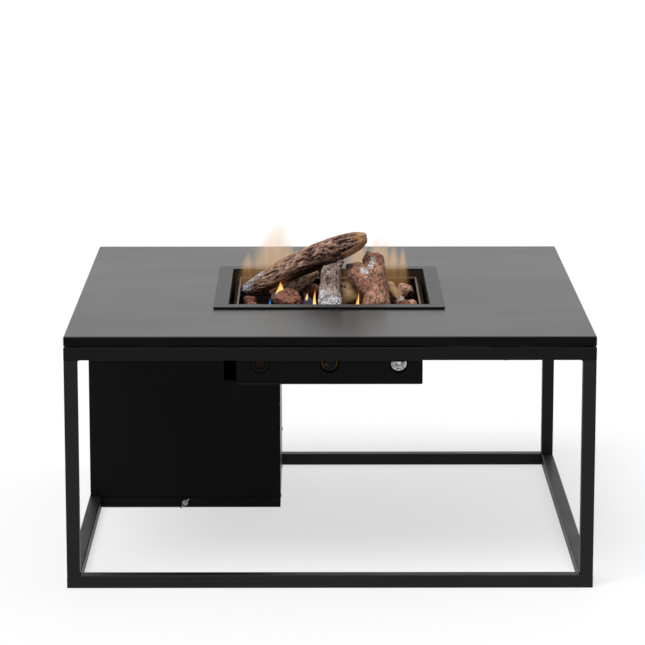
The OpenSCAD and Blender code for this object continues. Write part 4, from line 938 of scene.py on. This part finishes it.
def flame_glow(name, stops, strength, cover, rim):
    """Glow of colours by height, mixed with a clear shader: cover is its share where the skin faces
    the viewer, and rim is how far from the edge it starts to fade."""
    material, tree, output = new_finish(name)
    height = add(tree, "SeparateColor",
                 Color=add(tree, "Attribute", {"attribute_name": "marks"}).outputs["Color"]).outputs[0]
    facing = add(tree, "LayerWeight", Blend=0.5).outputs["Facing"]
    solid = sums(tree, "MULTIPLY", step(tree, facing, rim, 0.0, 0, cover),
                 step(tree, height, 1.0, 0.6))
    solid = sums(tree, "MULTIPLY", solid, step(tree, height, 0.0, 0.3))
    thin_glow(tree, output, solid, ramp(tree, height, stops), strength)
    return material


FIRE_TONES = ((0.0, "ff8a1e"), (0.3, "ffd890"), (0.5, "ffd27a"), (1.0, "ff7a10"))
bright = flame_glow("flame_bright", FIRE_TONES, 1.3, 0.95, 0.8)
blue = flame_glow("flame_blue", ((0.0, "1f9ade"), (1.0, "4a72c8")), 0.9, 0.7, 0.9)
violet = flame_glow("flame_violet", ((0.0, "6a6f96"), (1.0, "9a8698")), 0.8, 0.16, 1.0)
print("three glows")

# %% Make the small flames
# place, height, width, lean, glow
TONGUES = [
    ((-0.104, 0.034, 0.462), 0.036, 0.016, 0.012, bright),
    ((-0.046, 0.0, 0.46), 0.02, 0.006, 0.006, bright),
    ((-0.028, -0.08, 0.44), 0.066, 0.009, 0.001, bright),
    ((0.064, -0.085, 0.455), 0.028, 0.011, -0.012, bright),
    ((0.059, -0.08, 0.458), 0.04, 0.004, 0.0, bright),
    ((-0.121, -0.06, 0.447), 0.034, 0.008, 0.002, blue),
    ((-0.046, -0.05, 0.444), 0.05, 0.03, 0.004, violet),
]
for number, (place, height, width, lean, glow) in enumerate(TONGUES):
    flame = skin(f"flame_{number}", *flame_skin(place, height, width, lean, number))
    flame.data.materials.append(glow)
    flame.visible_shadow = False
print(len(TONGUES), "small flames")

# %% [markdown]
# ## Tall pale flames
#
# Behind the logs stand tall flames so thin that the table shows through. A skin would give them hard
# edges. They are drawn on two upright sheets instead, as a density at each point of a fine grid: every
# tongue is a bell curve across its swaying middle line, narrower and fainter towards its tip.

# %% Sheet of tall flames
def veil(name, tongues, place_y=0.14, low=0.446, high=0.62, rows=120, columns=150):
    """Upright sheet whose marks hold the flames' density and height. A tongue is its X at the foot and
    at the tip, the Z of the tip and its half width."""
    tongues = np.array(tongues)
    margin = 2.2 * tongues[:, 3]
    x_low = (tongues[:, :2].min(1) - margin).min()
    x_high = (tongues[:, :2].max(1) + margin).max()
    z, x = np.meshgrid(np.linspace(low, high, rows), np.linspace(x_low, x_high, columns),
                       indexing="ij")
    clear = np.ones_like(x)
    for number, (foot, tip, top, half) in enumerate(tongues):
        s = np.clip((z - low) / (top - low), 0, 1)
        middle = foot + (tip - foot) * s ** 1.5 + 0.08 * half * s * np.sin(6 * s + number)
        width = half * (1 - 0.94 * s ** 1.5)
        bell = np.exp(-np.abs((x - middle) / width) ** 3)
        clear = clear * (1 - bell * rise(1 - s, 0, 0.4) * rise(s, 0, 0.25))
    index = np.arange(rows * columns).reshape(rows, columns)
    quads = np.stack([index[:-1, :-1], index[:-1, 1:], index[1:, 1:], index[1:, :-1]], -1)
    points = np.stack([x, 0 * x + place_y, z], -1)
    mesh = bpy.data.meshes.new(name)
    mesh.from_pydata(points.reshape(-1, 3).tolist(), [], quads.reshape(-1, 4).tolist())
    marks = np.stack([1 - clear, (z - low) / (high - low), 0 * x, 0 * x], -1).astype(np.float32)
    mesh.attributes.new("marks", "FLOAT_COLOR", "POINT").data.foreach_set("color", marks.ravel())
    sheet = bpy.data.objects.new(name, mesh)
    bpy.context.scene.collection.objects.link(sheet)
    return sheet


print("veil ready")

# %% Glow of the tall flames
VEIL_TONES = ((0.0, "805f3c"), (0.28, "a47c50"), (0.4, "e9be8c"), (1.0, "f6d6b4"))


def veil_glow(cover=0.56):
    """Tan glow, mixed with a clear shader by the density, in streaks that rise with the flame."""
    material, tree, output = new_finish("flame_pale")
    marks = add(tree, "SeparateColor",
                Color=add(tree, "Attribute", {"attribute_name": "marks"}).outputs["Color"])
    coords = add(tree, "TexCoord").outputs["Object"]
    drawn = add(tree, "Mapping", Vector=coords, Scale=(1, 1, 0.12)).outputs[0]
    streaks = step(tree, grain(tree, drawn, 130, 2.0), 0.3, 0.65, 0.82 * cover, cover)
    share = sums(tree, "MULTIPLY", marks.outputs[0], streaks)
    thin_glow(tree, output, share, ramp(tree, marks.outputs[1], VEIL_TONES), 1.0)
    return material


pale = veil_glow()
print("pale glow")

# %% Make the tall flames
# for each tongue: X at the foot and at the tip, Z of the tip, half width
VEILS = {
    "left_veil": [(-0.132, -0.0875, 0.617, 0.05), (-0.168, -0.166, 0.545, 0.018),
                  (-0.086, -0.082, 0.572, 0.026)],
    "right_veil": [(0.06, 0.066, 0.6, 0.03), (0.098, 0.104, 0.586, 0.024), (0.114, 0.118, 0.58, 0.02),
                   (0.136, 0.134, 0.568, 0.016), (0.154, 0.154, 0.56, 0.013)],
}
for name, tongues in VEILS.items():
    sheet = veil(name, tongues)
    sheet.data.materials.append(pale)
    sheet.visible_shadow = False
    print(name, len(tongues), "tongues")
